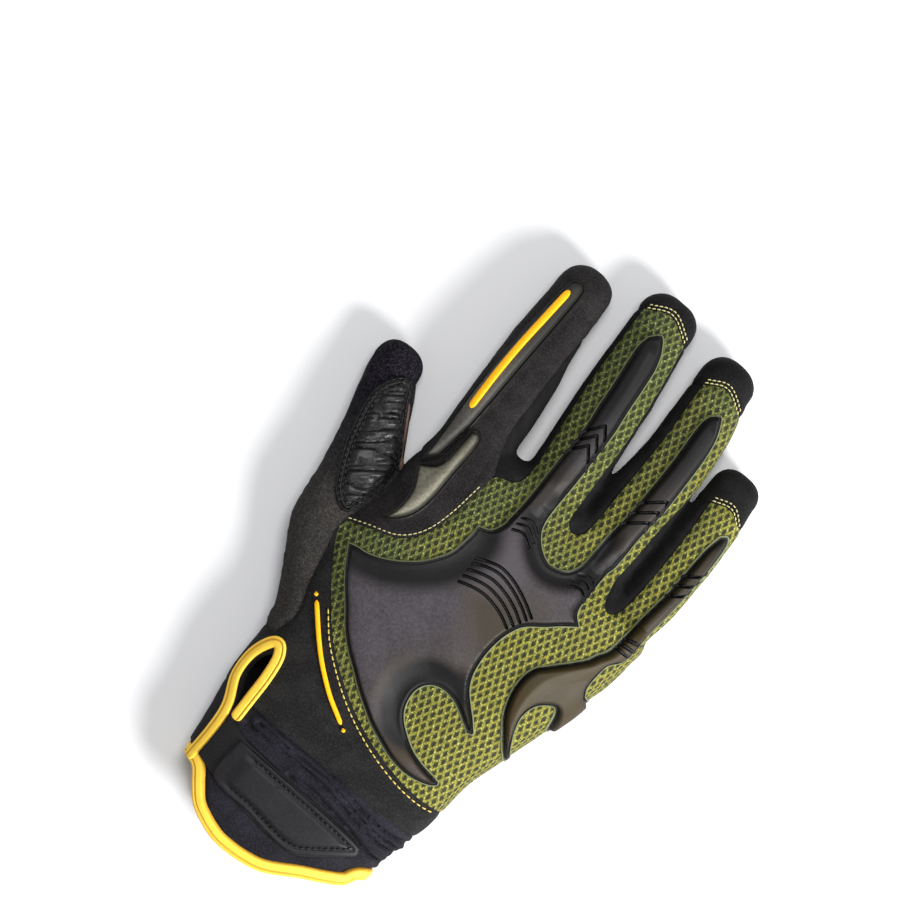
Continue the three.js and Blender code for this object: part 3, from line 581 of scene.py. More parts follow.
THUMB_LINE = outline(
    rows([-47.5, 4], [-50, -6], [-50.6, -12], [-48.6, -22], [-46, -34], [-42, -46]),
    on_cuff([-44, -0.21]),
    on_cuff([-80, -0.21]),
    rows([-100, 0]),
    rows([-100, 70]),
    rows([-58, 70]),
    rows([-51, 32], [-46.5, 20], [-45.6, 12]),
)
THUMB_FRONT_LINE = outline(
    rows([-51, 32], [-46.5, 20], [-43, 8], [-42, -6], [-44.5, -19], [-50, -31]),
    rows([-103, -45]),
    rows([-103, 70]),
    rows([-58, 70]),
)


def tip_outline(name):
    """A fingertip's cap: beyond its seam, and wide of the finger on the other sides."""
    left, top, right = TIP_SEAMS[name]
    clear = right[0] + 0.3
    return outline(
        on_finger(name, [-SEAM_MARGIN, left[1] - 0.03], left, top, right),
        on_finger(name, [clear, right[1]]),
        on_finger(name, [clear, 1.2]),
        on_finger(name, [-SEAM_MARGIN, 1.2]),
    )


def grip_outline(name):
    corners = [-0.9, 0.52], [0.85, 0.62], [0.85, 0.86], [0.45, 0.93], [-0.45, 0.93], [-0.9, 0.86]
    return on_finger(name, *corners)


def fourchette_outline(left, right):
    """The strip between two fingers' middles."""
    base, end = [0, -0.2], [0, 1.1]
    return np.vstack([on_finger(left, base), on_finger(right, base, end), on_finger(left, end)])


KNUCKLE_GUARD_LINE = outline(
    rows([-44.1, -12.7], [-40.2, -11.5], [-36, -10.9], [-31.2, -9.1], [-26.4, -6.4], [-21.6, -2.8],
         [-18, 0.7], [-14.4, 5.8], [-12.3, 10], [-11.3, 15.4], [-10.8, 20]),
    rows([-11.1, 23.4], [-6.9, 25], [-5.1, 27]),
    rows([-3.9, 30], [-3.3, 40], [-3.3, 50], [-3.6, 65], [-4, 78], [-5.2, 87], [-6.1, 96], [-7.3, 105],
         [-8.2, 114]),
    rows([-7.3, 119.4], [-4, 123], [-1.6, 121.8]),
    rows([1.4, 117], [3.2, 111], [4.4, 102], [5.3, 93], [6.5, 84], [7.1, 75], [7.6, 60], [7.8, 45],
         [8.4, 39.6], [9.9, 36], [13.2, 32.4], [17.4, 30], [20.4, 29.7], [25.2, 31.5], [27.6, 34.8],
         [28.5, 39], [28.7, 50], [29.7, 60], [29.9, 75], [29.6, 90], [29, 99], [28.7, 106.8]),
    rows([29.6, 111], [32.6, 114]),
    rows([34.4, 113.4], [36.2, 109.8], [38, 104.4], [39.2, 96], [39.8, 84], [40.1, 72], [39.3, 60],
         [39.3, 45], [38.4, 40], [38.4, 30], [39, 22.6]),
    rows([43.2, 18.4], [38, 14.5], [33, 10], [27, 5], [24.4, 0], [23.2, -4.8], [22.7, -10.8], [23.2, -16.8],
         [24.4, -21.6], [26.8, -25.8], [31, -30], [34.6, -33.3]),
    rows([38.2, -37.2], [38, -38.5]),
    rows([35.8, -39.3], [32.2, -37.2], [28, -34.8], [23.8, -33], [19, -32.4], [14.8, -33.6], [12.1, -36.6],
         [11.2, -40.8], [12.4, -46.2], [15.4, -50.4], [20.2, -54], [25, -56.7], [31, -58.5], [37, -59.4]),
    rows([40, -60], [40.3, -61.8]),
    rows([38.2, -63.6], [34, -65.1], [28.6, -66], [24, -65.8], [19, -64.9], [13, -62.8], [6, -60],
         [0, -56.5], [-6, -52.8], [-12, -48.4], [-18, -44.2], [-24, -38.8], [-30, -31.6], [-34.8, -26.2],
         [-39, -20.8], [-42, -16]),
)
OUTER_GUARD_LINE = outline(
    rows([62.1, 79], [64.5, 80.8], [66.3, 79]),
    rows([67.2, 74.8], [67.5, 64], [66.9, 52], [66.3, 43], [65.4, 34], [64.8, 22], [63.6, 17.8],
         [60.8, 14.2], [60, 10], [60, 3.4]),
    rows([61.5, 0], [66, -1]),
    rows([76, -2]),
    rows([70, -24]),
    rows([57.6, -19.2], [56.2, -12.6], [54.1, -11.1], [49.6, -15], [48.1, -21], [49.6, -27], [52.6, -33]),
    rows([55.5, -37], [62, -42]),
    rows([52.3, -38.2], [49, -34.8], [45.4, -30.6], [41.8, -25.8], [39.4, -20.4], [37.9, -14.4],
         [37.9, -8.4], [39.4, -3.6], [42.4, 0], [47, 5], [52.2, 11.2], [54, 14.8], [56.4, 19], [57.3, 25],
         [58.2, 31], [59.1, 40], [60, 49], [60.3, 58], [60.6, 70], [61.2, 74.8]),
)
INDEX_GUARD_LINE = outline(
    rows([-43.4, 114], [-42.4, 117.6], [-39.3, 119.2], [-36.6, 117.6]),
    rows([-35.8, 114], [-35.8, 98], [-36, 80], [-36, 62], [-36.3, 50], [-37, 43]),
    rows([-37.4, 37.5], [-38.6, 32.5], [-42.8, 28.4]),
    rows([-43.4, 38], [-44.2, 50], [-45, 62], [-45.2, 80], [-44.8, 98]),
)
INDEX_BASE_GUARD_LINE = outline(
    rows([-36, 48.6], [-33.6, 50.7], [-30.4, 49], [-29.4, 44], [-29.4, 33], [-29.4, 21], [-30.6, 13],
         [-33.6, 7], [-37.8, 3]),
    rows([-41.4, 2]),
    rows([-39.3, 5], [-38.1, 10], [-38.7, 17], [-42.4, 25]),
    rows([-42.4, 27.4], [-37.8, 31], [-36.3, 35], [-36.2, 41]),
)
THUMB_PATCH_LINE = outline(
    rows([-54.2, -5.4], [-57.8, -3.6], [-61.4, 0], [-63.2, 3], [-66.8, 10.2], [-69.8, 18], [-72.2, 27],
         [-73.4, 33], [-73.4, 39], [-71.6, 44.4], [-68.6, 48]),
    rows([-65.6, 48.6], [-62, 46.4]),
    rows([-60.2, 43.2]),
    rows([-46, 19.6]),
    rows([-46.2, 12], [-47.4, 5], [-49.2, -0.5], [-51.6, -4.4]),
)
PALM_PATCH_LINE = outline(
    rows([-33, 30], [-36, 16], [-33, 0], [-24, -14], [-10, -17], [8, -12], [28, -10], [44, -2], [52, 12]),
    rows([52, 22], [44, 26], [38, 20], [31, 19], [26, 24], [23, 33], [14, 34], [11, 26], [5, 22], [-3, 24]),
    rows([-8, 32], [-14, 41], [-26, 41]),
)
STRAP_LINE = outline(
    rows([-36.2, -91.2]),
    rows([-25, -94.2], [-5, -95.2], [15, -95.8], [29, -97.2], [33.6, -99.6], [33.4, -102.6], [31, -104.6]),
    rows([24, -110.4], [16.5, -115.9], [8, -117], [-8, -115.9], [-22, -113.8]),
    rows([-36, -110.6]),
)
TAB_LINE = outline(
    rows([-27, -95.4]),
    rows([-5, -95.9], [16, -96.5], [30.4, -97.7], [33, -99.4], [33.2, -101.6], [31, -103.7]),
    rows([26.8, -107], [20.8, -111.8], [16, -115.1], [12.4, -116.3], [4, -116.3], [-8, -114.8],
         [-26, -112.6]),
)
WRIST_BAR_LINE = rows(
    [-41.4, -34.9], [-36, -40.6], [-30, -46.9], [-24, -52.6], [-18, -57.4], [-12, -61.6], [-6, -64.9],
    [0.6, -68.5],
)
INDEX_BAR_LINE = rows([-41.6, 55.5], [-42.3, 70], [-42.4, 85], [-41.8, 100], [-41.2, 113.4])
LEATHER_LINES = {
    "palm_patch": PALM_PATCH_LINE,
    "middle_grip": grip_outline("middle"),
    "ring_grip": grip_outline("ring"),
}
PATCH_SEAMS = (1.2, 2.7)  # rows of stitches on the thumb's patch, in mm inside its outline


# Making pieces.

SHARP_ANGLE = math.radians(42)
TURNED_IN = 1.1  # how far from a seam a panel sinks
PRESSED = 0.6  # share of a panel's thickness that is left where it lies on the table


def put(name, data):
    """A new object in the scene for a mesh, a lamp or a camera."""
    thing = bpy.data.objects.new(name, data)
    bpy.context.scene.collection.objects.link(thing)
    return thing


def make(name, mesh, finish, nodes=(), cloth=True):
    """Puts a mesh in the scene as a piece of the glove, with its cloth coordinates as an attribute. A mesh
    may bring one or two numbers for each point, which become the attributes edge and rise."""
    points, faces, *marks = mesh
    data = bpy.data.meshes.new(name)
    data.from_pydata((points - ORIGIN) * MM, [], faces)
    data.shade_smooth()
    data.set_sharp_from_angle(angle=SHARP_ANGLE)
    if cloth:
        places = data.attributes.new("cloth", "FLOAT_VECTOR", "POINT")
        places.data.foreach_set("vector", unrolled(points).ravel())
    for key, values in zip(("edge", "rise"), marks):
        data.attributes.new(key, "FLOAT", "POINT").data.foreach_set("value", values)
    data.materials.append(FINISHES[finish])
    piece = put(name, data)
    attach(piece, "root")
    if nodes:
        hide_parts(*nodes)


def panel(mesh, lift, depth=CLOTH, dip=0.55):
    """A cloth panel: its face stands on the form by a lift, and sinks towards its seams, as if turned in."""
    points, faces = mesh
    n = normals_at(points)
    height = lift(points) - dip * bump(rim_distance(points, faces), TURNED_IN)
    top = points + n * height[:, None]
    bottom = points + n * (height - depth)[:, None]
    top[:, 2] = np.maximum(top[:, 2], 0)
    bottom[:, 2] = np.maximum(bottom[:, 2], PRESSED * depth)
    return closed(top, bottom, faces)


PLATE_BREAKS = (0.45, 0.8, 1.15, 1.9)  # lines scored into a plate's wall, in mm inside its outline
GROOVE_BREAKS = (0.3, 0.62)  # lines scored beside a groove
GROOVE_DEPTH = 1.6
GROOVE_FLOOR = 0.28  # half its width
GROOVE_WALL = 0.36  # how far its side slopes
GROOVE_RUBBER = 0.6  # what it leaves of the plate
GROOVE_MARK = 0.76  # its edge value, which finishes paint black as painted shade in the groove
BACK_ONLY = 10  # a plate keeps above this height


def moulded(base, line, height, foot, grooves):
    """A moulded plate on the cloth inside a plan outline. height gives its face over the cloth from the
    points and their distance inside the outline. Lines are scored at the wall's breaks and beside each
    groove, so that their edges are crisp. The mesh brings that distance and height as its marks."""
    mesh = refined(cut(base, lambda p: np.where(p[:, 2] > BACK_ONLY, within(p, line), 5.0) - 1.5))
    mesh = cut(mesh, lambda p: within(p, line))
    mesh = scored(mesh, lambda p: -within(p, line), PLATE_BREAKS)
    if grooves:
        mesh = scored(mesh, lambda p: nearest(p, grooves), GROOVE_BREAKS)
    points, faces = mesh
    n = normals_at(points)
    inside = -within(points, line)
    edge, rise = inside, height(points, inside)
    up = rise
    if grooves:
        gap = nearest(points, grooves)
        edge = np.where(gap < GROOVE_BREAKS[1] + 0.01, GROOVE_MARK, inside)
        sunk = GROOVE_DEPTH * (1 - smooth_step((gap - GROOVE_FLOOR) / GROOVE_WALL))
        up = np.maximum(rise - sunk, GROOVE_RUBBER)
    shell = closed(points + n * up[:, None], points + n * foot, faces)
    return *shell, np.append(edge, 0 * edge), np.append(rise, 0 * rise)


def nearest(p, lines):
    return np.min([line_distance(p, line) for line in lines], axis=0)


def rings_joined(rings, count, round_again=False):
    """Two triangles for each step round and along a row of rings. The last may join the first."""
    here = np.arange(rings if round_again else rings - 1)[:, None] * count
    there = (here + count) % (rings * count)
    ring, ahead = np.arange(count), (np.arange(count) + 1) % count
    a, b, c, d = [(start + turn).ravel() for turn in (ring, ahead) for start in (here, there)]
    return np.vstack([np.column_stack([a, b, c]), np.column_stack([c, b, d])])


def swept(path, normals, section, scale=1.0):
    """A closed section carried along a path: its first number lies across the path, its second along the
    normal. Rings that are scaled to nothing close the ends."""
    along = unit(np.gradient(path, axis=0))
    side = unit(np.cross(along, normals))
    up = np.cross(side, along)
    order = np.r_[0, 0 : len(path), len(path) - 1]
    size = np.zeros(len(order))
    size[1:-1] = scale
    flat = section * size[:, None, None]
    points = path[order][:, None] + flat[..., :1] * side[order][:, None] + flat[..., 1:] * up[order][:, None]
    return merged(points.reshape(-1, 3), rings_joined(len(order), len(section)))


def merged(points, faces):
    """Points at one place become one, and faces that shrank to a line go."""
    _, first, places = np.unique(np.round(points, 4), axis=0, return_index=True, return_inverse=True)
    faces = places.reshape(-1)[faces]
    a, b, c = faces.T
    return compact(points[first], faces[(a != b) & (b != c) & (c != a)])


def joined(meshes):
    counts = np.cumsum([0] + [len(points) for points, _ in meshes])
    return (np.vstack([points for points, _ in meshes]),
            np.vstack([faces + start for (_, faces), start in zip(meshes, counts)]))


STITCH_SIDES = 5
STITCH_RINGS = 5


def thread_arc(length, radius):
    """One stitch along x: a thin tube whose middle stands up as a parabola and whose ends sink."""
    t = np.linspace(-1, 1, STITCH_RINGS)
    path = np.column_stack([t * length / 2, 0 * t, radius * (1.1 - 1.5 * t**2)])
    turn = np.arange(STITCH_SIDES) * 2 * math.pi / STITCH_SIDES
    section = radius * np.column_stack([np.cos(turn), np.sin(turn)])
    return swept(path, np.tile([0, 0, 1.0], (STITCH_RINGS, 1)), section, scale=1 - 0.35 * t**4)


def stitches(lines, level, pitch, length, radius):
    """Stitches along plan lines: copies of one arc, set on the surface at even steps along each line."""
    lines = [even(curve(line), pitch) for line in lines]
    places = np.vstack([(line[:-1] + line[1:]) / 2 for line in lines])
    ways = np.vstack([np.diff(line, axis=0) for line in lines])
    centre = drop(places, level)
    n = normals_at(centre)
    along = np.column_stack([ways, np.zeros(len(ways))])
    along = unit(along - (along * n).sum(1)[:, None] * n)
    side = np.cross(n, along)
    arc, faces = thread_arc(length, radius)
    points = centre[:, None] + arc[:, :1] * along[:, None] + arc[:, 1:2] * side[:, None]
    points = points + arc[:, 2:] * n[:, None]
    starts = np.arange(len(centre))[:, None, None] * len(arc)
    return points.reshape(-1, 3), (faces + starts).reshape(-1, 3)


# Shader maths.


class Value:
    """A shader socket. Arithmetic on it adds Math nodes."""

    def __init__(self, finish, socket):
        self.finish, self.socket = finish, socket

    def math(self, operation, *others):
        return self.finish.node("ShaderNodeMath", {"operation": operation}, [self, *others])

    def __add__(self, other):
        return self.math("ADD", other)

    def __sub__(self, other):
        return self.math("SUBTRACT", other)

    def __rsub__(self, other):
        return self.finish.node("ShaderNodeMath", {"operation": "SUBTRACT"}, [other, self])

    def __mul__(self, other):
        return self.math("MULTIPLY", other)

    def __truediv__(self, other):
        return self.math("DIVIDE", other)

    def __pow__(self, other):
        return self.math("POWER", other)

    __radd__ = __add__
    __rmul__ = __mul__

    def floor(self):
        return self.math("FLOOR")

    def wave(self):
        return self.math("SINE")

    def size(self):
        return self.math("ABSOLUTE")

    def least(self, other):
        return self.math("MINIMUM", other)

    def ramp(self, low, high):
        """0 below low and 1 above high, with a smooth step between."""
        inputs = {"Value": self, "From Min": low, "From Max": high}
        return self.finish.node("ShaderNodeMapRange", {"interpolation_type": "SMOOTHSTEP"}, inputs)


class Finish:
    """A material that is being made: a Principled shader and the nodes that feed it."""

    def __init__(self, name, gloss, fixed=()):
        self.material = bpy.data.materials.new(name)
        self.material.use_nodes = True
        self.tree = self.material.node_tree
        self.shader = self.tree.nodes["Principled BSDF"]
        self.set(self.shader, {"Specular IOR Level": gloss, **dict(fixed)})

    def set(self, node, inputs):
        pairs = inputs.items() if isinstance(inputs, dict) else enumerate(inputs)
        for key, value in pairs:
            if isinstance(value, Value):
                self.tree.links.new(value.socket, node.inputs[key])
            else:
                node.inputs[key].default_value = value

    def node(self, kind, settings, inputs, output=0):
        node = self.tree.nodes.new(kind)
        for key, value in settings.items():
            setattr(node, key, value)
        self.set(node, inputs)
        return Value(self, node.outputs[output])

    def place(self):
        """Object coordinates in millimetres."""
        place = self.node("ShaderNodeTexCoord", {}, [], "Object")
        return self.node("ShaderNodeVectorMath", {"operation": "SCALE"}, {0: place, "Scale": 1 / MM})

    def cloth(self):
        """The cloth's own coordinates in millimetres."""
        return self.node("ShaderNodeAttribute", {"attribute_name": "cloth"}, [], "Vector")

    def mark(self, name):
        """A number that the mesh has at each point: edge, in mm inside its outline, or rise, its height."""
        return self.node("ShaderNodeAttribute", {"attribute_name": name}, [], "Fac")

    def split(self, vector):
        """A vector's x, y and z."""
        first = self.node("ShaderNodeSeparateXYZ", {}, [vector])
        return [Value(self, socket) for socket in first.socket.node.outputs]

    def speckle(self, vector, scale, detail=2.0, roughness=0.5, distortion=0.0):
        """Noise from 0 to 1, with scale in repeats per unit of the vector."""
        inputs = {"Vector": vector, "Scale": scale, "Detail": detail, "Roughness": roughness}
        return self.node("ShaderNodeTexNoise", {}, {**inputs, "Distortion": distortion}, "Fac")

    def stretched(self, vector, sizes):
        """A vector with each axis multiplied by its own size."""
        return self.node("ShaderNodeVectorMath", {"operation": "MULTIPLY"}, {0: vector, 1: sizes})

    def mix(self, share, a, b):
        """A colour that goes from a to b."""
        a, b = [color if isinstance(color, Value) else (*color, 1) for color in (a, b)]
        return self.node("ShaderNodeMix", {"data_type": "RGBA"}, {0: share, 6: a, 7: b}, 2)

    def finish(self, color, roughness, height, depth, coat=0.0):
        """Links what changes over the surface. depth is the bump's height in mm."""
        bumps = self.node("ShaderNodeBump", {}, {"Strength": 1.0, "Distance": depth * MM, "Height": height})
        inputs = {"Base Color": color, "Roughness": roughness, "Coat Weight": coat, "Normal": bumps}
        self.set(self.shader, inputs)
        return self.material


def linear(*srgb):
    """A colour from 0 to 255 as the shader's linear values."""
    c = np.array(srgb) / 255
    return tuple(float(v) for v in np.where(c <= 0.04045, c / 12.92, ((c + 0.055) / 1.055) ** 2.4))


def toned(color, times, plus=0.0):
    """A linear colour made stronger or weaker, with some white."""
    return tuple(times * c + plus for c in color)


def knit_mesh():
    """Spacer mesh: rows of upright diamond-shaped holes, half a step apart from row to row, between raised
    strands. The holes are painted dark as painted shade. The strands are painted greener towards the thumb
    side and the fingertips as painted shade, and yellower towards the little finger and the wrist as painted
    light, with slow patches of tone on top. Loose filaments glint in it as painted highlights."""
    f = Finish("yellow_mesh", 0.35)
    cloth = f.cloth()
    x, y, _ = f.split(cloth)
    pitch, rise, wide, tall = 2.9, 2.8, 0.78, 1.35

    def hole(start):
        """Distance to the nearest hole's middle, in hole sizes."""
        u, v = x / pitch + start, y / (2 * rise) + start
        u, v = (u - u.floor() - 0.5) * (pitch / wide), (v - v.floor() - 0.5) * (2 * rise / tall)
        return (u.size() ** 1.25 + v.size() ** 1.25) ** 0.8

    ragged = f.speckle(cloth, 1.3, 3.0, 0.7)
    radius = hole(0.0).least(hole(0.5)) + (ragged - 0.5) * 1.5
    strand = radius.ramp(0.55, 1.5)
    ply = (x * 6.4 + y * 2.6).wave() * 0.5 + 0.5
    fuzz = f.speckle(cloth, 3.4, 3.0, 0.7)
    # Painted light and shade: the yarn goes from a shaded green towards the thumb side and the fingertips to
    # a lit gold towards the little finger and the wrist, with slow patches of tone added.
    across = x * 0.008 - y * 0.003 + f.speckle(cloth, 0.05, 2.0)
    # The third colour is painted shade: the dark in the holes, which the strands also go towards in places.
    shaded_green, lit_gold, pit_shade = linear(94, 104, 44), linear(148, 142, 44), linear(28, 34, 14)
    yarn = f.mix(across.ramp(0.05, 0.95), shaded_green, lit_gold)
    tufts = f.speckle(cloth, 0.75, 3.0, 0.7)
    shade = fuzz.ramp(0.4, 0.62) * 0.35 + ply * 0.15 + tufts.ramp(0.42, 0.6) * 0.45
    yarn = f.mix(shade, f.mix(0.75, yarn, pit_shade), yarn)
    glints = f.speckle(cloth, 1.5, 2.0).ramp(0.57, 0.65) * strand
    color = f.mix(glints * 0.42, f.mix(strand, pit_shade, yarn), linear(196, 206, 136))
    height = strand * 0.8 + ply * 0.12 + fuzz * 0.2
    return f.finish(color, 0.75 - glints * 0.35, height, 0.75)


def moulded_rubber(name, color, rough=0.45, dusty=0.5, warm=None, rim=None, shaded_below=None, worn=None):
    """Satin rubber: a fine even grain, a second tint in slow patches, dust on it, painted shade where it lies
    low, dark along the finger strips, painted shade, black, in its grooves and in the channel inside its rim,
    a moulded rim, paler on the dark rubbers, and a painted highlight, pale round the place given as worn."""
    f = Finish(name, 0.24)
    place = f.place()
    x, y, _ = f.split(place)
    grain = f.speckle(place, 0.8, 4.0, 0.85)
    dust = f.speckle(place, 0.11, 4.0, 0.62)
    pale = toned(color, 1.95, 0.004)
    tone = f.mix(dust.ramp(0.35, 0.75) * 0.5 * dusty + grain.ramp(0.43, 0.57) * 1.1 * dusty, color, pale)
    if warm:
        tone = f.mix((f.speckle(place, 0.03, 1.0) + x * 0.006).ramp(0.42, 0.8), tone, warm)
    # A painted highlight: pale round the place given as worn, fading out by its radius.
    if worn:
        away = (x - worn[0]) * (x - worn[0]) + (y - worn[1]) * (y - worn[1])
        tone = f.mix((1 - away.ramp(20, worn[2] ** 2)) * 0.55, tone, pale)
    if shaded_below:
        # Painted shade: a dark copy of the colour where the plate lies low, full below the first rise given
        # and gone above the second. The same dark copy also darkens the finger strips further along them.
        deep = toned(color, 0.13)
        tone = f.mix(1 - f.mark("rise").ramp(*shaded_below), tone, deep)
        tone = f.mix(y.ramp(20, 44) * 0.52 + y.ramp(62, 90) * 0.42, tone, deep)
    if rim:
        # Painted shade: black in the channel just inside the rim, and in the grooves, whose edge mark falls
        # in that band.
        inside = f.mark("edge")
        tone = f.mix(inside.ramp(0.5, 0.66) * (1 - inside.ramp(0.86, 1.1)), tone, linear(4, 4, 4))
        tone = f.mix(1 - inside.ramp(0.4, 0.58), tone, rim)
    return f.finish(tone, rough + dust * 0.14 + grain * 0.06, grain, 0.09)


def foamed_knit(name, color, scale=1.0, tint=(1.0, 1.0, 1.0)):
    """A tight fine knit over foam: small staggered loops under a mottled pale fuzz."""
    f = Finish(name, 0.18)
    cloth = f.cloth()
    x, y, _ = f.split(cloth)
    rib = (x * (9.0 * scale)).wave()
    loops = (rib * 0.5 + 0.5) * ((y * (8.0 * scale) + rib).wave() * 0.5 + 0.5)
    fuzz = f.speckle(cloth, 1.15, 5.0, 0.8)
    worn = f.speckle(cloth, 0.1, 4.0, 0.6)
    pale = tuple(4.2 * c * t + 0.006 for c, t in zip(color, tint))
    tone = f.mix(loops * 0.1 + fuzz.ramp(0.46, 0.62) * 0.6 + worn.ramp(0.42, 0.62) * 0.25, color, pale)
    return f.finish(tone, 0.85, loops * 0.3 + fuzz, 0.3)


def terry():
    """Looped pile: fine bluish loops over black at the tip, and browner, brushed flat, towards the wrist."""
    f = Finish("terry", 0.12)
    place = f.place()
    _, y, _ = f.split(place)
    pile = f.speckle(place, 1.2, 5.0, 0.85, 0.6)
    worn = f.speckle(place, 0.12, 3.0)
    low = 1 - (y + worn * 30).ramp(5, 45)
    tone = f.mix(pile.ramp(0.47, 0.62) * 0.8, linear(8, 7, 10), linear(58, 53, 66))
    flat = f.mix(pile.ramp(0.44, 0.6) * 0.75, linear(40, 38, 37), linear(76, 73, 70))
    return f.finish(f.mix(low, tone, flat), 0.97, pile, 0.6)


def suede(name, color):
    """Napped suede: a short fine nap, brushed in soft patches."""
    f = Finish(name, 0.15)
    place = f.place()
    nap = f.speckle(place, 3.2, 4.0, 0.7)
    brushed = f.speckle(place, 0.22, 3.0)
    dark = linear(*color)
    tone = f.mix(nap.ramp(0.4, 0.8) * 0.6 + brushed.ramp(0.4, 0.75) * 0.4, dark, toned(dark, 2.6, 0.004))
    return f.finish(tone, 0.92, nap, 0.12)


def leather():
    """Glossy black leather: small pebbles, and folds that are shiny on top, with painted shade, black,
    between them.
    """
    f = Finish("leather", 0.32, {"Coat Roughness": 0.2})
    place = f.place()
    pebbles = {"Vector": place, "Scale": 1.3}
    cells = f.node("ShaderNodeTexVoronoi", {"feature": "DISTANCE_TO_EDGE"}, pebbles, "Distance")
    wrinkles = f.speckle(f.stretched(place, (0.9, 0.35, 0.6)), 0.5, 3.0, 0.6, 1.4)
    worn = f.speckle(place, 0.15, 3.0)
    outer, inner = [(f.mark("edge") - seam).size() for seam in PATCH_SEAMS]
    seam = 1 - outer.least(inner).ramp(0.12, 0.4)
    height = cells.ramp(0.0, 0.22) * 0.3 + wrinkles - seam * 2.0
    tone = f.mix(worn.ramp(0.4, 0.8), linear(9, 8, 9), linear(24, 22, 26))
    # Black along the rows of stitches, and painted shade where the thumb's patch lies low in its folds. On
    # the palm's pieces the rise is noise, so there the darkening is tone at random.
    tone = f.mix(seam * 0.8 + (1 - f.mark("rise").ramp(0.9, 1.7)), tone, linear(3, 3, 3))
    return f.finish(tone, 0.3 + worn * 0.2, height, 0.3, coat=f.mark("rise").ramp(1.1, 1.8) * 0.18)


def woven_tape(name, color, deep):
    """Bias tape: a fine diagonal twill with a soft shine, and painted shade, a deeper colour, along its
    crease and edges.
    """
    f = Finish(name, 0.45)
    place = f.place()
    x, y, z = f.split(place)
    twill = ((x + y * 0.35 + z * 0.6) * 8.0).wave() * 0.5 + 0.5
    cross = ((y - x * 0.3 + z * 0.4) * 9.0).wave() * 0.5 + 0.5
    soil = f.speckle(place, 0.2, 4.0)
    crease = f.mark("edge")
    # Painted shade: the tape darkens near its sewn crease and far across from it, towards its edge.
    folded = (1 - crease.ramp(0.15, 0.6)) * 0.7 + crease.ramp(2.5, 3.4) * 0.7
    tone = f.mix(twill * cross * 0.25 + soil.ramp(0.48, 0.75) * 0.3, color, deep)
    tone = f.mix(folded, tone, toned(deep, 0.62))
    return f.finish(tone, 0.6 + soil * 0.15, twill * 0.6 + cross * 0.4, 0.1)


def webbing():
    """Ribbed webbing: narrow ribs along the strap, crossed by fine picks."""
    f = Finish("webbing", 0.3)
    x, y, _ = f.split(f.place())
    ribs = (y * 7.5).wave() * 0.5 + 0.5
    picks = (x * 6.0 + ribs).wave() * 0.5 + 0.5
    tone = f.mix(ribs * picks, linear(7, 7, 8), linear(30, 29, 31))
    return f.finish(tone, 0.7, ribs * 0.6 + picks * 0.4, 0.18)


def thread(name, color):
    """Twisted thread: a fine slanting ply."""
    f = Finish(name, 0.45)
    x, y, _ = f.split(f.place())
    ply = ((x + y) * 14.0).wave() * 0.5 + 0.5
    tone = f.mix(ply, linear(*color), toned(linear(*color), 0.7))
    return f.finish(tone, 0.55, ply, 0.06)


RUBBER_RIM = linear(104, 110, 76)
FINISHES = {
    "mesh": knit_mesh(),
    # The knuckle guard gets a painted highlight round (9, 15), fading out by 19 mm; it is given as worn.
    "rubber": moulded_rubber("rubber", linear(50, 46, 50), warm=linear(52, 44, 33), rim=RUBBER_RIM,
                             shaded_below=(1.7, 3.6), worn=(9, 15, 19)),
    "outer_rubber": moulded_rubber("outer_rubber", linear(36, 30, 24), warm=linear(51, 41, 17),
                                   rim=RUBBER_RIM, shaded_below=(1.2, 3.4)),
    "index_rubber": moulded_rubber("index_rubber", linear(92, 90, 82), rim=linear(24, 23, 22),
                                   shaded_below=(1.2, 2.8)),
    "pale_rubber": moulded_rubber("pale_rubber", linear(104, 101, 87), rim=linear(24, 22, 20),
                                  shaded_below=(1.2, 3.4)),
    "tab_rubber": moulded_rubber("tab_rubber", linear(20, 19, 22), 0.4, 0.3),
    "yellow_rubber": moulded_rubber("yellow_rubber", linear(250, 176, 6), 0.4, 0.1),
    "index_knit": foamed_knit("index_knit", linear(19, 17, 17)),
    "wrist_knit": foamed_knit("wrist_knit", linear(15, 14, 14), 1.2),
    "cuff_knit": foamed_knit("cuff_knit", linear(16, 15, 19), 1.2, (1.0, 0.98, 1.15)),
    "cap_knit": foamed_knit("cap_knit", linear(5, 5, 5), 0.9),
    "terry": terry(),
    "suede": suede("suede", (14, 13, 14)),
    "raw_suede": suede("raw_suede", (86, 66, 56)),
    "leather": leather(),
    "tape": woven_tape("yellow_tape", linear(250, 208, 66), linear(224, 152, 26)),
    "webbing": webbing(),
    "pale_thread": thread("pale_thread", (222, 214, 150)),
    "yellow_thread": thread("yellow_thread", (232, 210, 104)),
    "black_thread": thread("black_thread", (8, 8, 9)),
}


# The cloth.

GRID_LOW, GRID_HIGH = (-88.0, -136.0, -3.0), (73.0, 142.0, 40.0)  # the box that holds the whole glove
HEM_AREA = outline(HEM_EDGE[:-1], HEM_EDGE[-1:], rows([-FAR, -FAR]), rows([FAR, -FAR]))
SLIT_HOLE = outline(rows([-39.8, -63.6], [-42.6, -68.5], [-42.8, -75], [-39.6, -82.4], [-37, -89]),
                    rows([-35.2, -89], [-35.6, -81.2], [-36.5, -74], [-37.4, -68], [-38.4, -64.6]))
skin = cut(surface(GRID_LOW, GRID_HIGH, SKIN_STEP), lambda p: -within(p, HEM_AREA))
back_skin = cut(skin, side_seam)
palm_skin = cut(skin, lambda p: -side_seam(p))

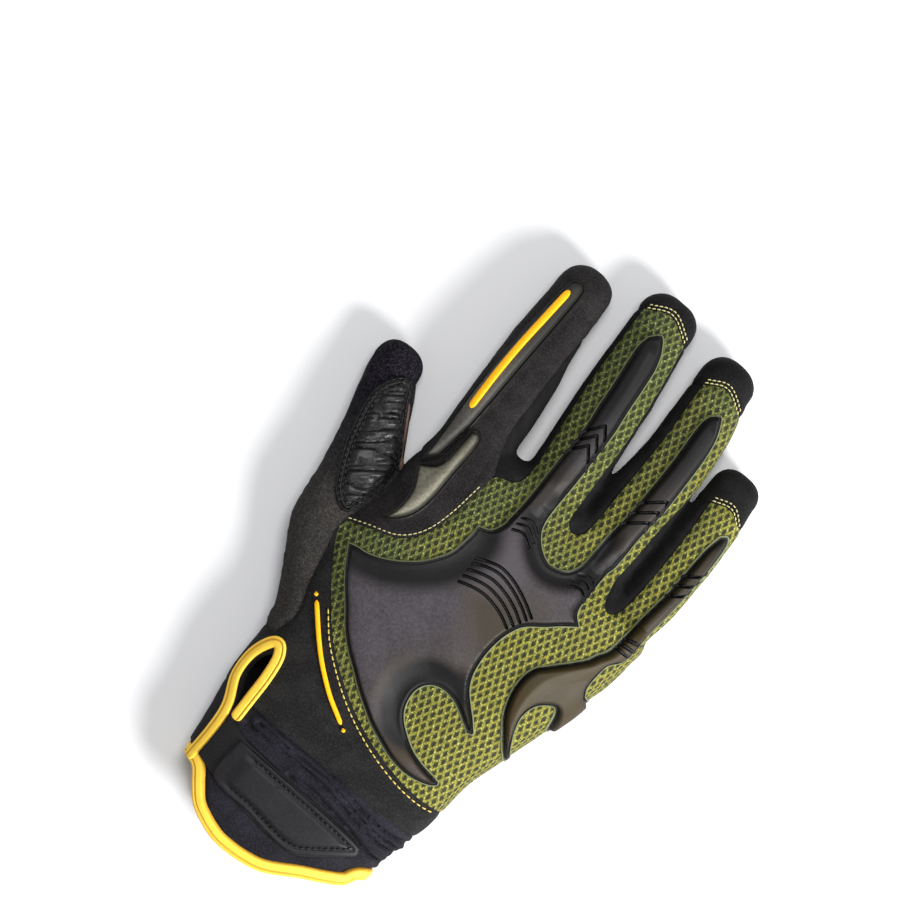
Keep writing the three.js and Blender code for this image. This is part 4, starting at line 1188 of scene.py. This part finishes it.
FOLDS = [
    rows([-34, -83.6], [-20, -84], [0, -83.5], [15, -85], [25, -87], [36, -87.6], [46, -86.5]),
    rows([-26, -86.4], [-12, -86.6], [4, -86], [16, -87.6], [30, -90], [44, -90]),
    rows([-30, -89.5], [-10, -88.7], [5, -88.6], [15, -90], [25, -91.5], [36, -92.8], [45, -92]),
    rows([-5, -94], [5, -93.3], [12, -94], [26, -96], [36, -98], [44, -98.5]),
]
INDEX_CREASES = [
    rows([-34.6, 52], [-34.4, 70], [-34.6, 90], [-35, 112]),
    rows([-22, 30], [-23.2, 50], [-23.8, 72], [-24.6, 96], [-27.6, 116]),
    rows([-53, 33.5], [-46.6, 31.7], [-42.8, 27]),
]


def soft(p, amount=0.3, size=11.0, seed=1):
    """Slack cloth: slow dents with a finer one on them."""
    return amount * noise(p, size, seed) + 0.4 * amount * noise(p, size * 0.4, seed + 7)


def little_root(p):
    """The dent outside the little finger's root, where the hand runs on smoothly."""
    return 2.0 * bump(np.hypot((p[:, 0] - 71) / 4, (p[:, 1] - 25) / 9), 1)


def mesh_lift(p):
    return 0.15 + soft(p, 0.22) - little_root(p)


def index_lift(p):
    creases = sum(bump(line_distance(p, curve(line)), 0.9) for line in INDEX_CREASES)
    return 0.1 + soft(p, 0.3, 9, 3) - 0.5 * creases


def thumb_lift(p):
    return 0.16 * noise(p, 1.3, 5) + 0.14 * noise(p, 2.6, 6) + soft(p, 0.4, 9, 9)


def wrist_lift(p):
    return soft(p, 0.3, 16, 4)


def cuff_lift(p):
    """Gathers: a crease along each fold line, and the cloth between two of them puffed up."""
    across = np.zeros(len(p))
    for line in FOLDS:
        d = line_distance(p, curve(line))
        across += 0.75 * bump(d - 1.9, 1.1) - 1.3 * bump(d, 0.5)
    gathers = 0.4 * np.sin(p[:, 1] * 1.25 + 0.8 * noise(p, 9, 2)) * smooth_step((12 - p[:, 2]) / 4)
    folded = 1 - smooth_step((line_distance(p, curve(HEM_EDGE)) - 3.8) / 1.4)
    return across * smooth_step((p[:, 2] - 12) / 5) + gathers + soft(p, 0.25, 9, 8) - 1.3 * folded


def palm_lift(p):
    """The palm sinks under its leather pieces."""
    under_leather = sum(smooth_step(0.5 - within(p, line)) for line in LEATHER_LINES.values())
    low = smooth_step((12 - p[:, 2]) / 6)
    gathers = 0.5 * np.sin(p[:, 1] * 1.2) * smooth_step((-64 - p[:, 1]) / 6) * low
    return soft(p, 0.3, 12, 12) + gathers - 1.1 * np.minimum(under_leather, 1) - little_root(p)


def cap_lift(p):
    return 0.1 + soft(p, 0.15, 5, 14)


def side_lift(p):
    return soft(p, 0.2, 7, 15) - 0.15


NEIGHBOURS = list(zip(FINGERS, list(FINGERS)[1:]))
PANELS = [  # name, outline, lift, finish, slot
    *[(name + "_tip", tip_outline(name), cap_lift, "cap_knit", "fingertip_cap") for name in TIP_SEAMS],
    ("back_mesh", MESH_LINE, mesh_lift, "mesh", "mesh"),
    ("index_back", INDEX_BACK_LINE, index_lift, "index_knit", "foamed_fabric"),
    ("thumb_back", THUMB_LINE, thumb_lift, "terry", "terry"),
    *[("fourchette_" + left + "_" + right, fourchette_outline(left, right), side_lift, "suede", "suede")
      for left, right in NEIGHBOURS],
]


FOLD_BREAKS = (0.25, 0.7, 1.4)  # lines scored beside the cuff's folds
CUFF_BACK = 12  # the slit and the folds are in the cuff's back, above this height


def cut_panels():
    """Cuts the cloth into its panels. Each takes what lies in its outline from what is left."""
    rest = cut(back_skin, lambda p: -within(p, SLIT_HOLE))
    for name, line, lift, finish, slot in PANELS:
        part = cut(rest, lambda p: within(p, line))
        rest = cut(rest, lambda p: -within(p, line))
        make(name + "_cloth", panel(part, lift), finish, [name])
    cuff_line = WRIST_SEAM - CUFF_TOP * CUFF_LENGTH
    wrist = cut(rest, lambda p: cuff_line - p[:, 1])
    make("wrist_back_cloth", panel(wrist, wrist_lift), "wrist_knit", ["wrist_back"])
    cuff = cut(skin, lambda p: p[:, 1] - cuff_line)
    cuff = cut(cuff, lambda p: -np.where(p[:, 2] > CUFF_BACK, within(p, SLIT_HOLE), 9.0))
    folds = [curve(line) for line in FOLDS]
    cuff = scored(cuff, lambda p: np.where(p[:, 2] > CUFF_BACK, nearest(p, folds), 9.0), FOLD_BREAKS)
    make("cuff_cloth", panel(cuff, cuff_lift, dip=0.3), "cuff_knit", ["cuff"])
    palm = cut(palm_skin, lambda p: cuff_line - p[:, 1])
    thumb_front = cut(palm, lambda p: within(p, THUMB_FRONT_LINE))
    palm = cut(palm, lambda p: -within(p, THUMB_FRONT_LINE))
    make("thumb_front_cloth", panel(thumb_front, palm_lift), "suede", ["thumb_front"])
    make("palm_cloth", panel(palm, palm_lift), "suede", ["palm_panel"])


cut_panels()


LEATHER = 0.9  # its thickness on the palm side
LEATHER_GAP = 0.25  # between it and the palm panel's cut edge


def under_leather():
    """Leather let into the palm side, flush with the cloth."""
    for name, line in LEATHER_LINES.items():
        part = cut(palm_skin, lambda p: within(p, line) + LEATHER_GAP)
        points, faces = panel(part, lambda p: 0.15 * noise(p, 4, 3), depth=LEATHER, dip=0.45)
        inside = np.minimum(-within(points, line), 9)
        worn = 1.45 + 0.35 * noise(points, 5, 6)
        make(name + "_leather", (points, faces, inside, worn), "leather", [name])


under_leather()


# Rubber.

BIG_ARCS = [curve(rows(*line)) for line in (
    [[-3.8, 13.4], [1, 15.4], [6.4, 16.6], [13, 15.6], [20, 13], [26.4, 9.6]],
    [[-3.3, 11.2], [1, 13.2], [6.6, 14.4], [13, 13.4], [20, 10.8], [25.4, 7.8]],
    [[-3.2, 8.4], [1.4, 10.2], [6.8, 11.2], [13, 10.4], [19, 8.4], [24.2, 5.6]],
    [[-3, 5.6], [1.6, 7.2], [7, 8.1], [13, 7.4], [18, 5.7], [23, 3.2]],
    [[-3, 2.8], [1.8, 4.3], [7.2, 5.1], [12.4, 4.5], [17, 3.2], [21.8, 0.9]],
)]
BASE_ARCS = [curve(rows([x, y - 2.8 * i], [x + 4.2, y + 1.6 - 2.9 * i], [x + 9, y - 1.4 - 2.6 * i]))
             for x, y in ((0, 35.6), (29.6, 33.2)) for i in range(3)]
MIDDLE_CHEVRONS = [rows([-3.9, 74.1 - 4.6 * i], [1.6, 82.4 - 4.8 * i], [7.2, 74.6 - 4.8 * i])
                   for i in range(3)]
RING_CHEVRONS = [rows([30.2, 68.2 - 4.9 * i], [37.1, 75.5 - 5.1 * i], [40.1, 70.2 - 4.8 * i])
                 for i in range(3)]
LITTLE_SLASHES = [rows([60.7, 58 - 4.7 * i], [67.6, 65 - 4.6 * i]) for i in range(3)]
LITTLE_ARCS = [rows([58.6, 25.9 - 2.1 * i], [64.6, 26.8 - 2.3 * i]) for i in range(3)]
HOLLOWS = [
    (rows([-36, -8.5], [-30, -5.5], [-24, -1.5], [-17, 4.5], [-13, 10.5], [-11, 17]), 2.6, 17),
    (rows([7.6, 47], [8.4, 39.6], [13.2, 32.4], [20.4, 29.7], [27.6, 34.8], [28.7, 47]), 2.3, 11),
    (rows([19, -32.4], [14.8, -33.6], [12.1, -36.6], [11.2, -40.8], [12.4, -46.2], [15.4, -50.4]), 2.6, 15),
    (rows([39.3, 46], [38.4, 34], [39, 24]), 1.4, 6),
]


def raised_face(inside, lip=0.8, body=1.9):
    """A thin lip round the edge, a channel inside it, then a rounded wall up to the crowned face."""
    return (0.15 + lip * smooth_step(inside / 0.4) - 0.6 * bump(inside - 1.05, 0.35)
            + body * smooth_step((inside - 1.1) / 1.5) + 0.6 * (1 - np.exp(-inside / 5)))


def roof(p, line, height, width):
    """A crest along a line, with straight flanks and a rounded top."""
    d = line_distance(p, curve(line)) / width
    return height * np.maximum(1 - np.sqrt(d * d + 0.02), 0)


def knuckle_face(p, inside):
    """A crowned face with a crest along each finger strip and arm. It sinks in bowls along HOLLOWS."""
    ridges = [rows([-2.6, 114], [0.6, 95], [1.6, 78], [2.2, 60], [2.6, 44]),
              rows([34.2, 106], [35.6, 92], [36.2, 75], [35.4, 58], [34.4, 42])]
    arms = [rows([-39, -15], [-30, -25], [-18, -37], [-5, -48], [8, -56.5], [20, -61.5], [32, -63]),
            rows([4, -8], [14, -21], [24, -28.5], [34, -35])]
    crests = sum(roof(p, line, 1.7, 4.6) for line in ridges) + sum(roof(p, line, 0.7, 9) for line in arms)
    sunk = sum(depth * (1 - smooth_step((line_distance(p, curve(line)) / reach - 0.25) / 0.75))
               for line, depth, reach in HOLLOWS)
    return raised_face(inside) + (crests - np.minimum(sunk, 2.6)) * smooth_step((inside - 0.9) / 2)


def outer_face(p, inside):
    """A low face with a crest along it, which thins out down the hand's side."""
    spine = rows([64.6, 76], [64, 58], [62.6, 40], [61.2, 24], [57, 14], [50, 4], [44.6, -5], [43.6, -16],
                 [47, -29])
    face = raised_face(inside, body=1.7) + roof(p, spine, 1.3, 4.5) * smooth_step(inside / 2)
    return face * (0.14 + 0.86 * smooth_step((p[:, 2] - 14) / 7.5))


def index_face(p, inside):
    return raised_face(inside, body=1.3)


def index_base_face(p, inside):
    spine = rows([-33, 48], [-32.6, 30], [-34, 15], [-38.5, 5])
    return raised_face(inside, body=1.3) + roof(p, spine, 0.9, 3.2)


def patch_face(p, inside):
    """Soft leather, folded across the thumb."""
    across = p[:, 1] * 0.77 - p[:, 0] * 0.64
    along = p[:, 0] * 0.77 + p[:, 1] * 0.64
    folds = np.abs(noise(np.column_stack([across / 2.2, along / 12, 0 * along]), 1.0, 3))
    fine = np.abs(noise(np.column_stack([across / 1.7, along / 7, 0 * along]), 1.0, 5))
    sewn = 0.5 * sum(bump(inside - seam, 0.35) for seam in PATCH_SEAMS)
    return (0.2 + 0.9 * smooth_step(inside / 0.6) + 0.8 * smooth_step((inside - 2.4) / 3)
            - (0.8 * (1 - folds) ** 3 + 0.4 * (1 - fine) ** 3) * smooth_step((inside - 2.6) / 1.5) - sewn)


def strap_face(p, inside):
    return 0.3 + 1.3 * smooth_step(inside / 0.5)


def tab_face(p, inside):
    """A raised border, a sewn channel inside it, and a plain plateau. The end under the loop is flat."""
    moulding = 0.55 * smooth_step((inside - 3.6) / 0.7) - 0.55 * bump(inside - 2.5, 0.5)
    return 1.7 + 1.0 * smooth_step(inside / 0.6) + moulding * smooth_step((p[:, 0] + 23) / 6)


TAB_FOOT = 1.6  # the tab lies on the strap
KNUCKLE_GROOVES = BIG_ARCS + BASE_ARCS + MIDDLE_CHEVRONS + RING_CHEVRONS
OUTER_GROOVES = LITTLE_SLASHES + LITTLE_ARCS
PLATES = [  # name, outline, face, finish, slot, foot, grooves
    ("knuckle_guard", KNUCKLE_GUARD_LINE, knuckle_face, "rubber", "rubber", 0.15, KNUCKLE_GROOVES),
    ("outer_guard", OUTER_GUARD_LINE, outer_face, "outer_rubber", "rubber", 0.15, OUTER_GROOVES),
    ("index_guard", INDEX_GUARD_LINE, index_face, "index_rubber", "rubber", 0.15, []),
    ("index_base_guard", INDEX_BASE_GUARD_LINE, index_base_face, "pale_rubber", "rubber", 0.15, []),
    ("thumb_patch", THUMB_PATCH_LINE, patch_face, "leather", "leather", 0.1, []),
    ("strap", STRAP_LINE, strap_face, "webbing", "webbing", 0.1, []),
    ("strap_tab", TAB_LINE, tab_face, "tab_rubber", "rubber", TAB_FOOT, []),
]
for name, line, face, finish, slot, foot, grooves in PLATES:
    plate = moulded(back_skin, line, face, foot, grooves)
    make(name + "_moulded", plate, finish, [name])


# Tape, bars and threads.

HEM_TAPE = (5.2, 3.4)  # width and thickness, folded
HEM_INWARDS = 2.3  # its middle, from the cloth's edge
HEM_LEVEL = -0.9  # its middle, over the cloth's face
HEM_LOWEST = 1.85  # its middle, over the table
SLIT_TAPE = (4.7, 1.9)
TAPE_CREASE = 0.22  # share of the width from its middle to the sewn crease


def rounded(width, thickness, exponent=2.6, sides=20):
    """A superellipse section."""
    t = np.arange(sides) * 2 * math.pi / sides
    c, s = np.cos(t), np.sin(t)
    return np.column_stack([np.sign(c) * np.abs(c) ** (2 / exponent) * width / 2,
                            np.sign(s) * np.abs(s) ** (2 / exponent) * thickness / 2])


def tape_section(width, thickness):
    """Folded tape: rounded edges, and a sewn crease along its face."""
    section = rounded(width, thickness, 2.8, 44)
    section[:, 1] -= np.where(section[:, 1] > 0, 0.5 * bump(section[:, 0] + width * TAPE_CREASE, 0.3), 0)
    return section


def hem_ring(count=420):
    """The hem round the wrist: on the hand's section at each angle, at the height of the hem's plan line."""
    hem = curve(HEM_EDGE)[::-1]
    turn = np.arange(count) * 2 * math.pi / count
    c, s = np.cos(turn), np.sin(turn)
    y = np.full(count, -115.0)
    for _ in range(12):
        cx, cz, wide, tall = HAND.section(y)
        x = cx + wide * np.sign(c) * np.abs(c) ** 0.8
        y = 0.5 * y + 0.5 * np.interp(x, hem[:, 0], hem[:, 1])
    return settle(np.column_stack([x, y, cz + tall * np.sign(s) * np.abs(s) ** 0.8]))


def ring_swept(path, normals, section):
    """A section carried round a closed path."""
    along = unit(np.roll(path, -1, 0) - np.roll(path, 1, 0))
    side = unit(np.cross(along, normals))
    up = np.cross(side, along)
    points = path[:, None] + section[:, :1] * side[:, None] + section[:, 1:] * up[:, None]
    return points.reshape(-1, 3), rings_joined(len(path), len(section), round_again=True)


def hem_tape():
    """The hem's tape: folded tape carried round the hem, a little way up from the cloth's edge."""
    ring = hem_ring()
    n = normals_at(ring)
    inwards = unit(np.cross(np.roll(ring, -1, 0) - np.roll(ring, 1, 0), n))
    inwards *= np.sign(inwards[:, 1:2].mean())
    path = settle(ring + HEM_INWARDS * inwards, HEM_LEVEL, 2)
    path[:, 2] = np.maximum(path[:, 2], HEM_LOWEST)
    path[:, 0] += 1.6 * smooth_step((-37 - path[:, 0]) / 3)
    path += 0.25 * n * noise(path, 6.0, 4)[:, None]
    section = tape_section(*HEM_TAPE)
    points, faces = ring_swept(path, normals_at(path), section)
    crease = np.tile(np.abs(section[:, 0] + TAPE_CREASE * HEM_TAPE[0]), len(path))
    make("hem_tape", (points, faces, crease), "tape", ["hem_binding"])


def slit_tape():
    """The slit's flat tape: it lies on the cloth round the slit, and its ends are rounded off."""
    line = even(curve(SLIT_LINE), 0.7)[3:]
    path = drop(line, 0.6)
    share = np.linspace(-1, 1, len(path))
    ends = 1 - 0.5 * np.abs(share) ** 90
    points, faces = swept(path, normals_at(path), tape_section(*SLIT_TAPE), scale=ends)
    crease = line_distance(points, beside(line, TAPE_CREASE * SLIT_TAPE[0]))
    make("slit_tape", (points, faces, crease), "tape", ["slit_binding"])


def raised_bar(line, level, width, height, dots=False):
    """A plain raised line with rounded ends, or with a round dot beyond each end."""
    path = drop(even(curve(line), 0.8), level)
    parts = [path[4:-4], path[:3], path[-3:]] if dots else [path]
    tubes = []
    for part in parts:
        share = np.linspace(-1, 1, len(part))
        ends = 0.35 + 0.65 * (1 - np.abs(share) ** 40)
        tubes.append(swept(part, normals_at(part), rounded(width, height), scale=ends))
    return joined(tubes)


hem_tape()
slit_tape()
make("wrist_bar_moulded", raised_bar(WRIST_BAR_LINE, 0.5, 1.8, 1.4, True), "yellow_rubber",
     ["wrist_bar"])
make("index_bar_moulded", raised_bar(INDEX_BAR_LINE, 3.2, 2.8, 1.6), "yellow_rubber",
     ["index_bar"])


def patch_line(line, inwards):
    """A closed outline moved inwards, as an open line."""
    turned = np.sign(np.sum(line[:, 0] * np.roll(line[:, 1], -1) - np.roll(line[:, 0], -1) * line[:, 1]))
    whole = np.vstack([line, line[:1]])
    return even(beside(whole, turned * inwards), 3.0)[1:-1]


def seam_threads():
    """Rows of stitches, and the raw edge of the thumb's patch."""
    caps = []
    for name, (left, top, right) in TIP_SEAMS.items():
        line = on_finger(name, [max(left[0], -0.8), left[1]], top, [min(right[0], 0.85), right[1]])
        caps += [line + (0, 0.9), line + (0, 2.4)]
    wrist = rows([46, -71], [38, -71.9], [25, -70.6], [8, -65.9], [-8, -58.4], [-24, -47.2], [-34, -36.6])
    index = beside(curve(MESH_INDEX_EDGE[:-1]), 1.1)
    patch = [patch_line(THUMB_PATCH_LINE, inwards) for inwards in PATCH_SEAMS]
    tab = patch_line(TAB_LINE, 2.5)
    threads = [  # name, lines, level, pitch, length, radius, finish, slot
        ("cap_stitches", caps, 0.0, 1.9, 1.3, 0.22, "pale_thread", "fingertip_cap"),
        ("wrist_stitches", [wrist], 0.0, 2.5, 1.7, 0.25, "yellow_thread", "foamed_fabric"),
        ("index_stitches", [index], 0.0, 2.0, 1.35, 0.2, "pale_thread", "foamed_fabric"),
        ("patch_stitches", patch, 0.9, 2.4, 1.75, 0.3, "black_thread", "leather"),
        ("tab_stitches", [tab[tab[:, 0] > -20]], 2.5, 2.3, 1.3, 0.35, "black_thread", "rubber"),
    ]
    for name, lines, level, pitch, length, radius, finish, slot in threads:
        make(name, stitches(lines, level, pitch, length, radius), finish, cloth=False)
    raw = drop(even(rows([-60.4, 42.4], [-53.6, 31.2], [-46.7, 20.6]), 0.8), 0.4)
    share = np.linspace(-1, 1, len(raw))
    raw = swept(raw, normals_at(raw), rounded(2.3, 1.1), scale=1 - 0.6 * share**8)
    make("raw_edge", raw, "raw_suede")


seam_threads()


# The stage.

PHOTO_CENTRE = np.array([-37.1, 38.3, 14.0])
PHOTO_WIDTH = 342.0
PHOTO_TURN = math.radians(40)
DISTANCE = 1400.0
LENS = 85.0
LIT_PLACE = (0, 0, 0.01)  # in metres


def camera():
    """A long lens straight over the glove, turned so that the fingers point up to the right."""
    data = bpy.data.cameras.new("camera")
    data.lens, data.sensor_width = LENS, LENS * PHOTO_WIDTH / DISTANCE
    data.clip_start, data.clip_end = 0.05, 10
    view = put("camera", data)
    view.location = (PHOTO_CENTRE - ORIGIN + (0, 0, DISTANCE)) * MM
    view.rotation_euler = (0, 0, PHOTO_TURN)
    bpy.context.scene.camera = view


def lamp(name, place, size, power):
    """A round lamp that points its -Z at the glove."""
    data = bpy.data.lights.new(name, "AREA")
    data.shape, data.size, data.energy = "DISK", size, power
    light = put(name, data)
    light.location = place
    x, y, z = np.array(LIT_PLACE) - place
    light.rotation_euler = (math.atan2(math.hypot(x, y), -z), 0, math.atan2(x, -y) + math.pi)


def stage():
    finish = Finish("floor", 0.2, {"Roughness": 0.75, "Base Color": (0.86, 0.86, 0.87, 1)})
    data = bpy.data.meshes.new("floor")
    data.from_pydata([(-3, -3, 0), (3, -3, 0), (3, 3, 0), (-3, 3, 0)], [], [(0, 1, 2, 3)])
    data.materials.append(finish.material)
    put("floor", data)
    world = bpy.data.worlds.new("studio")
    world.use_nodes = True
    sky = world.node_tree.nodes["Background"].inputs
    sky["Color"].default_value, sky["Strength"].default_value = (0.95, 0.97, 1, 1), 0.28
    bpy.context.scene.world = world
    bpy.context.scene.view_settings.view_transform = "Standard"
    lamp("window", (0.9, -0.15, 0.62), 0.45, 22)
    lamp("overhead", (-0.1, 0.45, 1.5), 0.7, 14)


camera()
stage()
